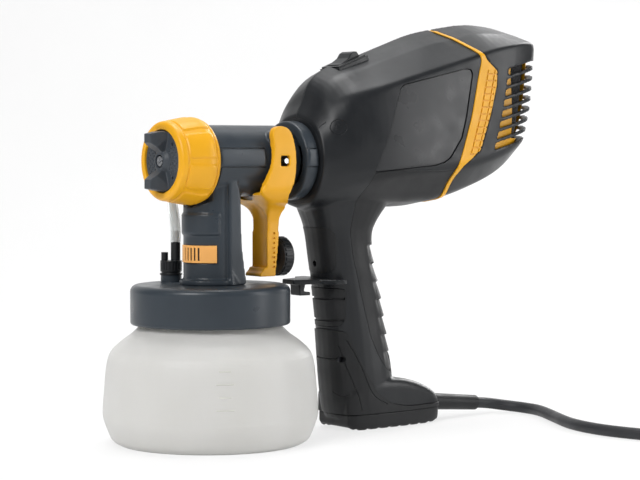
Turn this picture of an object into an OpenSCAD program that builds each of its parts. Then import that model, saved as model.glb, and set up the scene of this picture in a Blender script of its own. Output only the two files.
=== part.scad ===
// Handheld turbine paint sprayer. Millimetres, +Z up, +X to the rear, spray leaves along -X.
// The origin is on the table, at the middle of the cup's base.

/* [Cup] */
// Largest radius of the cup
cup_r = 64; // [62:0.5:66]
// Height of the cup's rim over the table
cup_h = 88; // [85:0.5:90]
// Outer radius of the cup's neck
neck_r = 41.5; // [39:0.5:42]
// Height of the straight neck
neck_h = 18; // [16:0.5:20]
// Wall thickness of the cup
cup_wall = 2; // [1.5:0.1:2.5]
// How far the screw thread stands out
thread_d = 1.2; // [0.8:0.1:1.5]

/* [Lid] */
// Outer radius of the lid
lid_r = 47.5; // [46.5:0.5:50]
// Thickness of the lid's top
lid_t = 4; // [3:0.25:5]
// Radius of the lid's shoulder
lid_round = 4; // [2:0.5:6]
// Thickness of the sealing ring under the lid
gasket_t = 1.9; // [1.5:0.1:2.5]

/* [Spray head] */
// Height of the spray axis over the table
axis_z = 167; // [162:0.5:172]
// Outer radius of the barrel
barrel_r = 21.3; // [20.5:0.1:22]
// Wall thickness of the barrel
barrel_wall = 3; // [2.5:0.1:3.5]
// Length of the barrel from the nut to the collar
barrel_len = 61.2; // [60:0.1:61.6]
// Outer radius of the collar
collar_r = 24.1; // [23.5:0.1:25]
// Length of the collar
collar_len = 9; // [8:0.5:9.5]
// Outer radius of the spigot that enters the handle
spigot_r = 17.5; // [16.5:0.1:18]
// Length of the spigot
spigot_len = 15; // [12:0.5:16]
// Radius of the round column under the barrel
column_r = 16; // [15:0.25:17]
// Outer radius of the column's rear half
column_back_r = 18; // [17.2:0.2:18.4]
// Radius of the paint passage in the column
passage_r = 4; // [3.5:0.1:4.3]
// Outer radius of the threaded nose under the nut
nose_r = 19.5; // [19:0.1:20]
// Length of the threaded nose
nose_len = 19.8; // [19:0.1:20.5]

/* [Nut and air cap] */
// Largest radius of the union nut
nut_r = 26; // [25:0.25:26.5]
// Length of the union nut
nut_len = 26.9; // [26.5:0.1:27.5]
// Number of grip panels round the nut
nut_panels = 8; // [6:1:10]
// Radius of the air cap's face
cap_r = 18; // [17.5:0.1:18.3]
// How far the two horns stand out of the face
horn_h = 10.4; // [9:0.2:12]
// Width of a horn
horn_w = 14; // [12:0.5:16]

/* [Needle and trigger] */
// Radius of the needle
needle_r = 1.6; // [1.4:0.05:1.8]
// Distance of the trigger's pivot above the spray axis
pivot_up = 13.2; // [12:0.1:14]
// Distance of the trigger's pivot behind the cup's axis
pivot_x = 34.5; // [33:0.5:36]
// Radius of the trigger's pivot pin
pivot_r = 2.5; // [2:0.1:3]
// Radius of the cross pin in the needle
cross_r = 1.6; // [1.3:0.1:1.8]
// Thickness of one trigger ear
ear_t = 4.2; // [3.5:0.1:5]
// Half width of the trigger's finger grip
finger_w = 8; // [7:0.25:9]
// Radius of the flow knob
knob_r = 12; // [10:0.5:12]
// Thickness of the flow knob
knob_t = 7; // [5:0.5:8]
// Wire radius of the needle spring
spring_wire_r = 0.5; // [0.4:0.05:0.6]

/* [Air tube and valve] */
// Outer radius of the clear air tube
tube_r = 3.1; // [2.8:0.1:3.3]
// Bore radius of the clear air tube
tube_bore_r = 2.05; // [1.9:0.05:2.2]
// Radius of the check valve's cap
valve_r = 6.5; // [6:0.1:7]
// Outer radius of the suction tube
suction_r = 3.8; // [3.3:0.1:3.8]

/* [Handle housing] */
// Wall thickness of the housing
wall = 3; // [2.5:0.1:3.5]
// Radius of the neck's front face
neck_face_r = 28.3; // [27.8:0.1:29]
// How far the housing's widest part is from its middle plane
body_w = 42.5; // [41:0.25:44]
// Thickness of the soft grips
skin = 2; // [1.6:0.1:2.4]
// Half width of the handle in the middle
handle_w = 18; // [17:0.25:19]
// Height of the base foot
foot_h = 10; // [8:0.5:12]
// Depth of the side panels' recess
panel_t = 1.5; // [1.2:0.1:1.8]
// Number of openings in the rear grille
grille_n = 8; // [6:1:9]
// Height of one opening in the rear grille
grille_gap = 3.9; // [3:0.1:4.2]

/* [Turbine] */
// Radius of the turbine casing
casing_r = 33; // [31:0.25:33.5]
// Length of the turbine casing
casing_len = 36; // [34:0.5:37]
// Radius of the motor can
can_r = 22; // [20.5:0.25:22.5]
// Length of the motor can
can_len = 32; // [31:0.5:32.5]
// Radius of the motor shaft
shaft_r = 3; // [2.5:0.1:3.5]
// Number of blades on an impeller
blades = 9; // [7:1:12]
// Inner radius of the air duct
duct_r = 10; // [9:0.25:10.2]

/* [Switch and hook] */
// Length of the switch bezel
bezel_l = 24; // [22:0.5:26]
// Width of the switch bezel
bezel_w = 19.4; // [18:0.2:20]
// Thickness of the hook plate
hook_t = 3; // [2.5:0.25:4]

/* [Cord] */
// Diameter of the mains cord
cord_d = 7.2; // [7.2]
// Number of full turns in one layer of the coil
coil_turns = 3; // [3]
// Radius of the coil's innermost turn
coil_in_r = 31; // [31]

/* [Fits] */
// Gap round a pin or shaft that turns
run_gap = 0.06; // [0.04:0.01:0.09]
// Gap between pieces that move past each other
gap = 0.3; // [0.3:0.05:0.4]
// Gap between pieces that are fitted together
seat = 0.1; // [0.05:0.01:0.15]

/* [Hidden] */
$fn = 64;

// Colours
yellow = [0.93, 0.68, 0.12];
slate = [0.25, 0.29, 0.33];
shell_black = [0.16, 0.17, 0.19];
grip_black = [0.10, 0.10, 0.11];
steel = [0.72, 0.72, 0.74];

// Heights and places that follow from the sizes above
neck_z = cup_h - neck_h;
lid_in_r = neck_r + thread_d + gap;
lid_z = neck_z + 0.4;
deck_z = cup_h + gasket_t + lid_t;
nut_back_x = -7.5;
nut_front_x = nut_back_x - nut_len;
barrel_x = nut_back_x + gap;
collar_x = barrel_x + barrel_len;
collar_back_x = collar_x + collar_len;
spigot_x = collar_back_x + spigot_len;
bore_r = barrel_r - barrel_wall;
spigot_bore_r = spigot_r - 2.2;
bulkhead_x = 10;
nose_x = nut_back_x - nose_len;
nut_in_r = nose_r + gap;
lip_t = 2.6;
lip_r = cap_r + 0.4;
cap_flange_r = nut_in_r - 0.5;
cap_face_x = nut_front_x + 1;
cap_flange_x = nut_front_x + lip_t + gap;
cap_back_x = nose_x - gap;
nozzle_r = 2.9;
orifice_r = 1;
chamber_r = 5;
pivot_z = axis_z + pivot_up;
pin_x = pivot_x + 3.2;
// Degrees the trigger turns, and how far the needle then moves
pull = 14;
travel = pivot_up * pull * PI / 180;
eye_r = cross_r + 1.9;
collar_back = pin_x + 7.5;
seat_x = collar_back_x - 3.5;
seat_t = 2;
ear_in = barrel_r + 0.6;
ear_out = ear_in + ear_t;
finger_front_x = 36;
finger_back_x = 44.8;
grip_foot = deck_z + 3.6 - pivot_z;
channel_z = deck_z + 9;
channel_h = axis_z - 36.6 - channel_z;
channel_r = finger_w + 4;
knob_z = deck_z + 15.2;
knob_x = finger_back_x + 1.9;
stud_r = 3;
valve_at = [-7.5, 31.3];
barb_at = [-5.6, 29.2];
nub_at = [-10.6, 33.6];
barb_r = tube_bore_r - 0.25;
boss_top = deck_z + 4.4;
valve_top = boss_top + 8.6;
port_x = 1;
housing_x = collar_back_x + gap;
ring_r = neck_face_r - 2.5;
ring_len = spigot_len + 1.4;
lug_h = 2.6;
lug_x = collar_back_x + 7;
lug_t = 4;
fan_z = axis_z + 34;
casing_x = 150;
can_x = casing_x - can_len;
duct_wall = 1.3;
duct_x = housing_x + ring_len;

// ---------- curves ----------
// A smooth curve through points a, b, c and d, between b and c
function between(a, b, c, d, t) =
  0.5 * (2 * b + (c - a) * t + (2 * a - 5 * b + 4 * c - d) * t * t + (3 * b - a - 3 * c + d) * t * t * t);
// A list of points or rows made n times finer
function smooth(p, n) = [
  for (i = [0 : len(p) - 2], k = [0 : n - 1])
    between(p[max(i - 1, 0)], p[i], p[i + 1], p[min(i + 2, len(p) - 1)], k / n),
  p[len(p) - 1]
];
// Points on an arc about c
function arc(c, r, a0, a1, n) = [
  for (k = [0 : n]) let (a = a0 + (a1 - a0) * k / n) c + r * [cos(a), sin(a)]
];
// A closed outline between an ellipse and a rectangle, n points
function oval(a, b, power, n) = [
  for (k = [0 : n - 1])
    let (c = cos(360 * k / n), s = sin(360 * k / n))
      [a * sign(c) * pow(abs(c), 2 / power), b * sign(s) * pow(abs(s), 2 / power)]
];
function unit(v) = v / norm(v);
function total(v, i = 0) = i >= len(v) ? 0 : v[i] + total(v, i + 1);

// ---------- swept tubes ----------
// Rings of a tube about the points of a route, each square to the route and without twist
function way(p, i) = unit(p[min(i + 1, len(p) - 1)] - p[max(i - 1, 0)]);
function frame_at(p, i, up) =
  i == 0 ? unit(cross(cross(way(p, 0), up), way(p, 0)))
  : let (u = frame_at(p, i - 1, up), w = way(p, i)) unit(u - w * (u * w));
function frames(p, up) = [
  for (i = 0, u = frame_at(p, 0, up); i < len(p);
    i = i + 1, u = i < len(p) ? unit(u - way(p, i) * (u * way(p, i))) : u)
    u
];
function ring(c, w, u, r, n) =
  let (v = cross(w, u)) [for (k = [0 : n - 1]) c + r * (cos(360 * k / n) * u + sin(360 * k / n) * v)];
function rings(p, r, n, up) =
  let (us = frames(p, up)) [for (i = [0 : len(p) - 1]) each ring(p[i], way(p, i), us[i], r, n)];
function skin_faces(m, n, base, flip) = [
  for (i = [0 : m - 2], k = [0 : n - 1])
    let (
      a = base + i * n + k, b = base + i * n + (k + 1) % n,
      c = base + (i + 1) * n + (k + 1) % n, d = base + (i + 1) * n + k
    )
      each flip ? [[a, c, b], [a, d, c]] : [[a, b, c], [a, c, d]]
];
// A solid tube of radius r with n sides
module sweep(p, r, n, up = [0, 0, 1]) {
  m = len(p);
  first = [for (k = [1 : n - 2]) [0, k + 1, k]];
  last = [for (k = [1 : n - 2]) [(m - 1) * n, (m - 1) * n + k, (m - 1) * n + k + 1]];
  polyhedron(rings(p, r, n, up), concat(skin_faces(m, n, 0, true), [for (f = first) [f[0], f[2], f[1]]],
    [for (f = last) [f[0], f[2], f[1]]]), 4);
}
// A tube of radius r with a bore
module hollow_sweep(p, r, bore, n, up = [0, 0, 1]) {
  m = len(p);
  in = m * n;
  e = (m - 1) * n;
  polyhedron(concat(rings(p, r, n, up), rings(p, bore, n, up)), concat(
    skin_faces(m, n, 0, true), skin_faces(m, n, in, false),
    [for (k = [0 : n - 1]) let (j = (k + 1) % n) each [[k, j, in + j], [k, in + j, in + k]]],
    [for (k = [0 : n - 1])
      let (j = (k + 1) % n) each [[e + k, in + e + j, e + j], [e + k, in + e + k, in + e + j]]]
  ), 4);
}

// ---------- placing ----------
// A solid of revolution about the spray axis from an outline of [x, radius]
module about_axis(outline) {
  translate([0, 0, axis_z]) rotate([0, 90, 0]) rotate_extrude() polygon([for (p = outline) [p[1], p[0]]]);
}
// A rod along X
module rod_x(x0, x1, r, z = axis_z, y = 0) {
  translate([x0, y, z]) rotate([0, 90, 0]) cylinder(h = x1 - x0, r = r);
}
// A rod along Y
module rod_y(y0, y1, r, x, z) {
  translate([x, y0, z]) rotate([-90, 0, 0]) cylinder(h = y1 - y0, r = r);
}
// A side view outline of [x, z] given a thickness from y0 to y1
module side(outline, y0, y1) {
  translate([0, y1, 0]) rotate([90, 0, 0]) linear_extrude(y1 - y0) polygon(outline);
}

// ---------- cup ----------
cup_side = smooth([
  [cup_r - 9.5, 0], [cup_r - 5.4, 2.6], [cup_r - 2.6, 8.6], [cup_r - 0.4, 15], [cup_r, 20],
  [cup_r - 1, 34], [cup_r - 2.2, neck_z - 24], [cup_r - 4.6, neck_z - 16], [cup_r - 10.5, neck_z - 10],
  [cup_r - 17, neck_z - 5.2], [neck_r, neck_z]
], 4);
module cup() color([0.9, 0.9, 0.88, 0.6]) {
  difference() {
    rotate_extrude() polygon(concat([[0, 0]], cup_side, [[neck_r, cup_h], [0, cup_h]]));
    rotate_extrude() polygon(concat(
      [[0, cup_wall]], [for (p = cup_side) [p[0] - cup_wall, max(p[1], cup_wall)]],
      [[neck_r - cup_wall, cup_h + 1], [0, cup_h + 1]]
    ));
  }
  for (k = [0 : 1])
    rotate_extrude() translate([neck_r - 0.2, neck_z + 6 + 6 * k]) square([thread_d + 0.2, 2]);
}
module cup_gasket() color([0.8, 0.8, 0.78])
  translate([0, 0, cup_h]) difference() {
    cylinder(h = gasket_t, r = neck_r);
    translate([0, 0, -1]) cylinder(h = gasket_t + 2, r = neck_r - cup_wall - 3);
  }
module cup_lid() color(slate) difference() {
  union() {
    rotate_extrude() polygon(concat(
      [[lid_in_r, lid_z]], arc([lid_r - 1.5, lid_z + 1.5], 1.5, -90, 0, 3),
      arc([lid_r - lid_round, deck_z - lid_round], lid_round, 0, 90, 6),
      [[0, deck_z], [0, deck_z - lid_t], [lid_in_r, deck_z - lid_t]]
    ));
    translate([valve_at[0], valve_at[1], deck_z - 1]) cylinder(h = boss_top - deck_z + 1, r = valve_r - 0.2);
  }
  translate([0, 0, deck_z - lid_t - 1]) cylinder(h = lid_t + 2, r = suction_r + seat);
  translate([valve_at[0], valve_at[1], deck_z - lid_t - 1]) cylinder(h = 12, r = 2);
  translate([valve_at[0], valve_at[1], boss_top - 1]) cylinder(h = 2, r = valve_r - 1.6);
}

// ---------- valve and air tube ----------
module valve_membrane() color([0.85, 0.85, 0.82])
  translate([valve_at[0], valve_at[1], boss_top - 0.9]) cylinder(h = 0.8, r = valve_r - 1.8);
module valve_cap() color(grip_black) difference() {
  union() {
    translate([valve_at[0], valve_at[1], boss_top]) cylinder(h = 1, r = valve_r + 0.3);
    translate([valve_at[0], valve_at[1], boss_top + 1]) cylinder(h = 1, r = valve_r - 0.6);
    translate([valve_at[0], valve_at[1], boss_top + 2]) cylinder(h = valve_top - boss_top - 2, r = valve_r);
    translate([nub_at[0], nub_at[1], valve_top - 1]) cylinder(h = 6, r = 2.1);
    translate([barb_at[0], barb_at[1], valve_top - 1]) cylinder(h = 12, r = 2.9);
    translate([barb_at[0], barb_at[1], valve_top + 10]) cylinder(h = 8, r = barb_r);
  }
  translate([barb_at[0], barb_at[1], valve_top - 4]) cylinder(h = 24, r = 0.9);
  translate([valve_at[0], valve_at[1], boss_top - 1]) cylinder(h = 4, r = 3.6);
  for (k = [0 : 19]) rotate_about(valve_at, 18 * k)
    translate([valve_at[0] + valve_r - 0.35, valve_at[1] - 0.4, boss_top + 3])
      cube([1, 0.8, valve_top - boss_top - 4]);
}
module rotate_about(at, a) {
  translate([at[0], at[1], 0]) rotate([0, 0, a]) translate([-at[0], -at[1], 0]) children();
}
// The clear tube from the valve to the port on the barrel's far side
tube_route = [
  [barb_at[0], barb_at[1], valve_top + 11.3], [barb_at[0], barb_at[1], valve_top + 19.3],
  [-5.9, 30.4, axis_z - 31],
  [-5.9, 32.6, axis_z - 22], [-4.8, 34.4, axis_z - 12], [-2, 34, axis_z - 4.6],
  [0.3, 31, axis_z - 0.7], [port_x, 27.5, axis_z], [port_x, barrel_r + 2.4, axis_z]
];
module air_tube() color([0.9, 0.92, 0.92, 0.5])
  hollow_sweep(smooth(tube_route, 2), tube_r, tube_bore_r, 9, [1, 0, 0]);
// The suction tube, bent towards the front at its foot
module suction_shape(r) {
  bend_z = 34;
  translate([0, 0, bend_z]) cylinder(h = axis_z - 30 - bend_z, r = r);
  translate([0, 0, bend_z]) sphere(r = r);
  translate([0, 0, bend_z]) rotate([0, 180 + 24, 0]) cylinder(h = 30, r = r);
}
module suction_tube() color([0.85, 0.86, 0.84]) difference() {
  suction_shape(suction_r);
  difference() {
    suction_shape(suction_r - 1.2);
    translate([0, 0, axis_z + 50]) cube([1, 1, 1]);
  }
  translate([0, 0, axis_z - 31]) cylinder(h = 3, r = suction_r - 1.2);
  translate([0, 0, 34]) rotate([0, 180 + 24, 0]) cylinder(h = 31, r = suction_r - 1.2);
}

// ---------- spray head ----------
insert_z = deck_z + 13.3;
insert_h = 10.4;
insert_t = 1.6;
// A curved plate round the column, from angle a0 to a1 counted from the spray side towards the left
module column_patch(z, h, r0, r1, a0, a1) {
  translate([0, 0, z]) rotate([0, 0, 180 + a0]) rotate_extrude(angle = a1 - a0)
    translate([r0, 0]) square([r1 - r0, h]);
}
module head_body() color(slate) difference() {
  union() {
    rod_x(nose_x, barrel_x + 1, nose_r);
    rod_x(barrel_x, collar_x + 1, barrel_r);
    about_axis(concat([[collar_x, 0]], [[collar_x, collar_r - 1]], [[collar_x + 1, collar_r]],
      [[collar_back_x - 0.8, collar_r]], [[collar_back_x, collar_r - 0.8]], [[collar_back_x, 0]]));
    rod_x(collar_back_x - 1, spigot_x, spigot_r);
    intersection() {
      rod_x(barrel_x, pivot_x - 9.5, barrel_r + 1);
      translate([barrel_x, -barrel_r - 2, axis_z - 3.4]) cube([60, 2 * barrel_r + 4, 10.8]);
    }
    intersection() {
      rod_x(collar_x + 1, collar_back_x - 0.8, collar_r + 0.5);
      translate([collar_x, -collar_r - 2, axis_z - 3.4]) cube([collar_len, 2 * collar_r + 4, 10.8]);
    }
    difference() {
      union() {
        translate([0, 0, deck_z]) cylinder(h = axis_z - deck_z - 6, r = column_r);
        translate([0, 0, deck_z]) cylinder(h = 3.2, r = column_r + 2.4);
        column_patch(axis_z - 43, 11.6, column_r - 1, column_r + 1, -72, 75);
      }
      rod_x(nut_front_x, barrel_x, nut_r + 1);
    }
    difference() {
      translate([0, 0, deck_z]) rotate_extrude() polygon([
        [0, 0], [column_back_r + 2.4, 0], [column_back_r + 1.6, 3], [column_back_r + 0.8, 7],
        [column_back_r + 0.3, 14], [column_back_r, 24], [column_back_r, axis_z - deck_z - 9],
        [0, axis_z - deck_z - 9]
      ]);
      translate([-58, -40, deck_z - 1]) cube([60, 80, 100]);
    }
    rod_y(-ear_in + 0.3, ear_in - 0.3, pivot_r + 2.2, pivot_x, pivot_z);
    rod_y(barrel_r - 3, barrel_r + 5.6, barb_r, port_x, axis_z);
    rod_y(barrel_r - 3, barrel_r + 2.3, 3.6, port_x, axis_z);
    for (s = [0, 180]) translate([lug_x, 0, axis_z]) rotate([s, 0, 0]) translate([0, 0, 0])
      rotate([0, 90, 0]) rotate([0, 0, 90 - 12]) rotate_extrude(angle = 24)
        translate([spigot_r - 1, 0]) square([lug_h + 1, lug_t]);
  }
  rod_x(bulkhead_x, collar_back_x - 1.3, bore_r);
  rod_x(collar_back_x - 2, spigot_x + 1, spigot_bore_r);
  rod_x(nose_x - 1, bulkhead_x + 1, chamber_r);
  translate([0, 0, deck_z - 1]) cylinder(h = axis_z - deck_z + 1, r = passage_r);
  for (k = [0 : 5]) translate([nose_x - 1, 0, axis_z]) rotate([60 * k, 0, 0]) translate([0, 14, 0])
    rotate([0, 90, 0]) cylinder(h = bulkhead_x - nose_x + 2, r = 2.2);
  translate([pin_x - cross_r - 0.5, -barrel_r - 3, axis_z - cross_r - 0.4])
    cube([travel + 2 * cross_r + 1, 2 * barrel_r + 6, 2 * cross_r + 0.8]);
  rod_y(-ear_in - 1, ear_in + 1, pivot_r + 0.02, pivot_x, pivot_z);
  rod_y(barrel_r - 6, barrel_r + 7, 0.9, port_x, axis_z);
  column_patch(insert_z, insert_h, column_r - insert_t + 0.6, column_r + 4, -26, 70);
}
module column_insert() color([0.95, 0.62, 0.25]) difference() {
  column_patch(insert_z + seat, insert_h - 2 * seat, column_r - insert_t + 0.7, column_r + 0.7, -25.6, 69.6);
  for (k = [0 : 4]) rotate([0, 0, 180 - 5 + 9.2 * k])
    translate([column_r - 0.2, -0.55, insert_z + 1.4]) cube([2, 1.1, insert_h - 2.8]);
}
module nozzle() color(steel) difference() {
  about_axis([
    [nose_x, 0], [nose_x, 8.5], [nose_x - 2, 8.5], [nose_x - 2, 5], [nose_x - 4, nozzle_r],
    [cap_face_x - 2, nozzle_r], [cap_face_x - 2, 0]
  ]);
  rod_x(nose_x - 6, nose_x + 1, 2.2);
  rod_x(cap_face_x - 3, nose_x - 5.9, orifice_r);
}
module union_nut() color(yellow) difference() {
  about_axis(concat([[nut_front_x, lip_r]],
    arc([nut_front_x + 2.4, nut_r - 5], 2.4, 180, 108, 4),
    smooth([[nut_front_x + 3, nut_r - 2.5], [nut_front_x + 12, nut_r - 0.9], [nut_front_x + 18, nut_r],
      [nut_front_x + 22, nut_r - 0.4], [nut_back_x - 1.6, nut_r - 2], [nut_back_x, nut_r - 4]], 3),
    [[nut_back_x, nut_in_r], [nut_front_x + lip_t, nut_in_r], [nut_front_x + lip_t, lip_r]]));
  for (k = [0 : nut_panels - 1]) translate([0, 0, axis_z]) rotate([360 / nut_panels * (k + 0.5), 0, 0])
    translate([nut_front_x + 6.5, -0.5, nut_r - 1.5]) cube([17, 1, 3]);
}
module air_cap() color(grip_black) difference() {
  union() {
    about_axis([
      [cap_back_x, 0], [cap_back_x, cap_flange_r], [cap_flange_x, cap_flange_r], [cap_flange_x, cap_r],
      [cap_face_x, cap_r - 0.4], [cap_face_x, 7.5], [cap_face_x - 1.6, 6.2], [cap_face_x - 2.4, 5],
      [cap_face_x - 2.4, 0]
    ]);
    for (s = [0, 180]) translate([0, 0, axis_z]) rotate([s, 0, 0]) intersection() {
      side([[cap_face_x + 1, 4], [cap_face_x - 2.5, 5.4], [cap_face_x - horn_h, 10.8],
        [cap_face_x - horn_h, 16], [cap_face_x - 2, cap_r - 0.4], [cap_face_x + 1, cap_r - 0.4]],
        -horn_w, horn_w);
      translate([cap_face_x - horn_h - 1, 0, 0]) rotate([0, 90, 0]) linear_extrude(horn_h + 3)
        polygon([[-3, -2.6], [-15, -horn_w / 2], [-20, -horn_w / 2], [-20, horn_w / 2],
          [-15, horn_w / 2], [-3, 2.6]]);
      linear_extrude(20) polygon([[cap_face_x + 2, -horn_w / 2], [cap_face_x - horn_h - 1, -3.2],
        [cap_face_x - horn_h - 1, 3.2], [cap_face_x + 2, horn_w / 2]]);
      rod_x(cap_face_x - horn_h - 1, cap_face_x + 2, cap_r - 0.1, 0);
    }
  }
  rod_x(cap_face_x - 5, cap_back_x + 1, nozzle_r + 1);
  rod_x(cap_face_x + 3, cap_back_x + 1, cap_flange_r - 3);
  for (y = [-1, 1], z = [-1, 1]) rod_x(cap_face_x - 1, cap_face_x + 4, 1.1, axis_z + 9.6 * z, 10.4 * y);
}
module needle() color(steel) difference() {
  union() {
    about_axis([
      [cap_face_x - 2.6, 0], [cap_face_x - 2.6, orifice_r - gap], [nose_x - 6.6, orifice_r - gap],
      [nose_x - 4, needle_r], [spigot_x - 14, needle_r], [spigot_x - 14, 0]
    ]);
    rod_x(pin_x - eye_r - 0.5, pin_x + eye_r + 0.5, eye_r + 0.4);
    rod_x(pin_x + eye_r, collar_back, 5.2);
  }
  rod_y(-8, 8, cross_r + 0.02, pin_x, axis_z);
}
module needle_pin() color(steel) rod_y(-ear_out + 0.8, ear_out - 0.8, cross_r, pin_x, axis_z);
module needle_gland() color([0.75, 0.62, 0.35]) difference() {
  union() {
    rod_x(3, bulkhead_x, chamber_r - seat);
    translate([bulkhead_x, 0, axis_z]) rotate([0, 90, 0]) cylinder(h = 3, r = 6.4, $fn = 6);
  }
  rod_x(2, bulkhead_x + 4, needle_r + run_gap);
}
spring_x0 = collar_back + travel + 0.4;
spring_x1 = seat_x - spring_wire_r - 0.2;
spring_r = 3.6;
spring_curls = 6;
module needle_spring() color(steel) sweep([
  for (k = [0 : 8 * spring_curls])
    [spring_x0 + spring_wire_r + (spring_x1 - spring_x0 - spring_wire_r) * k / (8 * spring_curls),
     spring_r * cos(45 * k), axis_z + spring_r * sin(45 * k)]
], spring_wire_r, 5, [1, 0, 0]);
module spring_seat() color(slate) difference() {
  rod_x(seat_x, seat_x + seat_t, bore_r - seat);
  rod_x(seat_x - 1, seat_x + seat_t + 1, needle_r + run_gap);
  for (k = [0 : 5]) translate([seat_x - 1, 0, axis_z]) rotate([60 * k + 30, 0, 0]) translate([0, 10.5, 0])
    rotate([0, 90, 0]) cylinder(h = seat_t + 2, r = 4);
}

// ---------- trigger ----------
// Side view of one ear, counted from the pivot
ear = smooth([
  [-7.5, 2.5], [-6, 6], [-1, 7.4], [4.5, 5.6], [8, -0.5], [9.9, -10.4], [9.5, -21], [7, -32],
  [6.5, -38], [0, -39], [-9, -35.5], [-14.6, -32.5], [-13.8, -28.5], [-10.6, -24],
  [-8, -17.5], [-6.6, -9], [-6.6, -3], [-7.5, 2.5]
], 3);
// Side view of the saddle and the finger grip, and half its width at each height, from the pivot
grip_side = concat(
  smooth([[-14.6, -32.5], [-12, -34.6], [-6.8, -37.2], [-1, -41.4], [1.3, -47]], 3),
  [[1.2, -61], [-0.3, grip_foot + 6.7], [-1.6, grip_foot + 3.3], [-3.8, grip_foot + 1.7]],
  [[-3.8, grip_foot], [7.4, grip_foot]],
  smooth([[9.8, -62], [10.6, -51], [11.4, -44.6], [12.6, -41.5], [8.8, -37.4], [6.4, -33], [6, -28]], 2)
);
grip_half = concat(
  smooth([[ear_out, -24], [ear_out, -33], [21.5, -37.4], [14.5, -40], [10.4, -43.6], [finger_w, -49]], 3),
  [[finger_w, -90]]
);
module trigger() color(yellow) difference() {
  union() {
    for (s = [-1, 1]) side([for (p = ear) [pivot_x + p[0], pivot_z + p[1]]],
      s > 0 ? ear_in : -ear_out, s > 0 ? ear_out : -ear_in);
    // saddle under the barrel, narrowing into the finger grip
    intersection() {
      side([for (p = grip_side) [pivot_x + p[0], pivot_z + p[1]]], -ear_out, ear_out);
      translate([0, 0, pivot_z]) rotate([90, 0, 90]) linear_extrude(80) polygon(concat(
        grip_half, [for (k = [len(grip_half) - 1 : -1 : 0]) [-grip_half[k][0], grip_half[k][1]]]));
    }
    rod_x(finger_front_x + 3, finger_back_x, stud_r + 2.6, knob_z);
  }
  // room round the barrel, at rest and pulled
  rod_x(0, collar_back_x, barrel_r + 2.2);
  translate([pivot_x, 0, pivot_z]) rotate([0, pull, 0]) translate([-pivot_x, 0, -pivot_z]) {
    rod_x(0, collar_back_x, barrel_r + 1);
    rod_x(collar_x - 0.8, collar_back_x + 6, collar_r + 1.2);
  }
  // finger channel
  translate([finger_front_x - 9.4, 0, channel_z]) {
    cylinder(h = channel_h, r = channel_r);
    translate([0, 0, channel_h]) sphere(r = channel_r);
  }
  for (s = [-1, 1]) {
    rod_y(s > 0 ? ear_in - 1 : -ear_in - 3, s > 0 ? ear_in + 3 : -ear_in + 1, pivot_r + run_gap,
      pivot_x, pivot_z);
    translate([pin_x - 4.6, s * (ear_in + ear_t / 2) - ear_t, axis_z - 3.1]) cube([6.4, 2 * ear_t, 6.2]);
  }
  rod_x(finger_front_x + 4, finger_back_x + 3, stud_r + run_gap, knob_z);
}
module trigger_pin() color(steel) rod_y(-ear_in - 2.8, ear_in + 2.8, pivot_r, pivot_x, pivot_z);
module flow_knob() color(grip_black) difference() {
  union() {
    rod_x(knob_x, knob_x + knob_t, knob_r - 0.8, knob_z);
    rod_x(knob_x + 1, knob_x + knob_t - 1, knob_r, knob_z);
  }
  for (k = [0 : 23]) translate([0, 0, knob_z]) rotate([15 * k, 0, 0])
    translate([knob_x - 1, -0.6, knob_r - 0.7]) cube([knob_t + 2, 1.2, 2]);
  rod_x(knob_x - 1, knob_x + knob_t - 2, stud_r, knob_z);
}
module knob_stud() color(steel) rod_x(finger_front_x + 5, knob_x + knob_t - 2, stud_r, knob_z);

// ---------- housing form ----------
// Each row is one section: x at its top, x at its bottom, then heights over the spray axis and half
// widths from the crown down to the keel, and last how round its corners are.
coarse_rows = [
  [housing_x, housing_x, neck_face_r, neck_face_r * 0.52, neck_face_r * 0.9, neck_face_r * 0.9,
    neck_face_r * 0.52, neck_face_r * 1.03, 0, neck_face_r * 0.9, -neck_face_r * 0.52, neck_face_r * 0.52,
    -neck_face_r * 0.9, -neck_face_r, 0.5],
  [67, 67, 35, 15, 31.5, 26.5, 20, 30.3, 2, 26.8, -15, 15.5, -26.8, -30, 0.5],
  [72.5, 74, 47.4, 15.5, 41.8, 28.8, 29, 32.6, 6, 30.5, -14, 17, -27.5, -31, 0.42],
  [84, 87, 56.4, 16, 51.4, 33, 38, body_w - 5.5, 12, 35.5, -11, 19.5, -27, -30.5, 0.32],
  [104, 104, 63.2, 16.5, 57.4, 36, 44.5, body_w - 2, 16, 39.2, -9, 21.5, -26, -30, 0.26],
  [129, 127, 72.2, 17, 65.4, 37.5, 51.8, body_w - 0.4, 20, 41, -6.5, 23, -25.5, -29.5, 0.22],
  [153, 146, 80.3, 18, 72.5, 38.5, 58.2, body_w, 24, 41.5, -5, 24.5, -25, -29, 0.2],
  [181, 158, 85.6, 18.5, 78.2, 39, 65.6, body_w + 0.2, 28, 42, -3, 26, -23, -27, 0.2],
  [198, 176, 87.6, 19, 81.2, 38.8, 70.4, body_w, 30, 41.8, -0.5, 26.5, -18, -22, 0.2],
  [216, 200, 87, 19, 81.4, 38, 74, body_w - 0.8, 33, 40.6, 6, 25, -9.5, -13.5, 0.2],
  [230, 216, 84.6, 18, 80, 34.6, 75, body_w - 4.5, 36, 35.6, 13, 22, -0.5, -3.5, 0.24],
  [236.5, 225, 81, 13, 77.6, 25, 73, body_w - 16, 38, 25, 17, 17, 8, 6, 0.3]
];
finer = smooth(coarse_rows, 2);
body_rows = [for (k = [0 : len(finer) - 1]) if (k < 7 || k > 16 || k % 2 == 0) finer[k]];
function corner(a, b, c, f, i) = [for (t = i > 2 ? [0.1, 0.9] : [0.06, 0.5, 0.94])
  let (p = b + (a - b) * f, q = b + (c - b) * f) (1 - t) * (1 - t) * p + 2 * t * (1 - t) * b + t * t * q];
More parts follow.
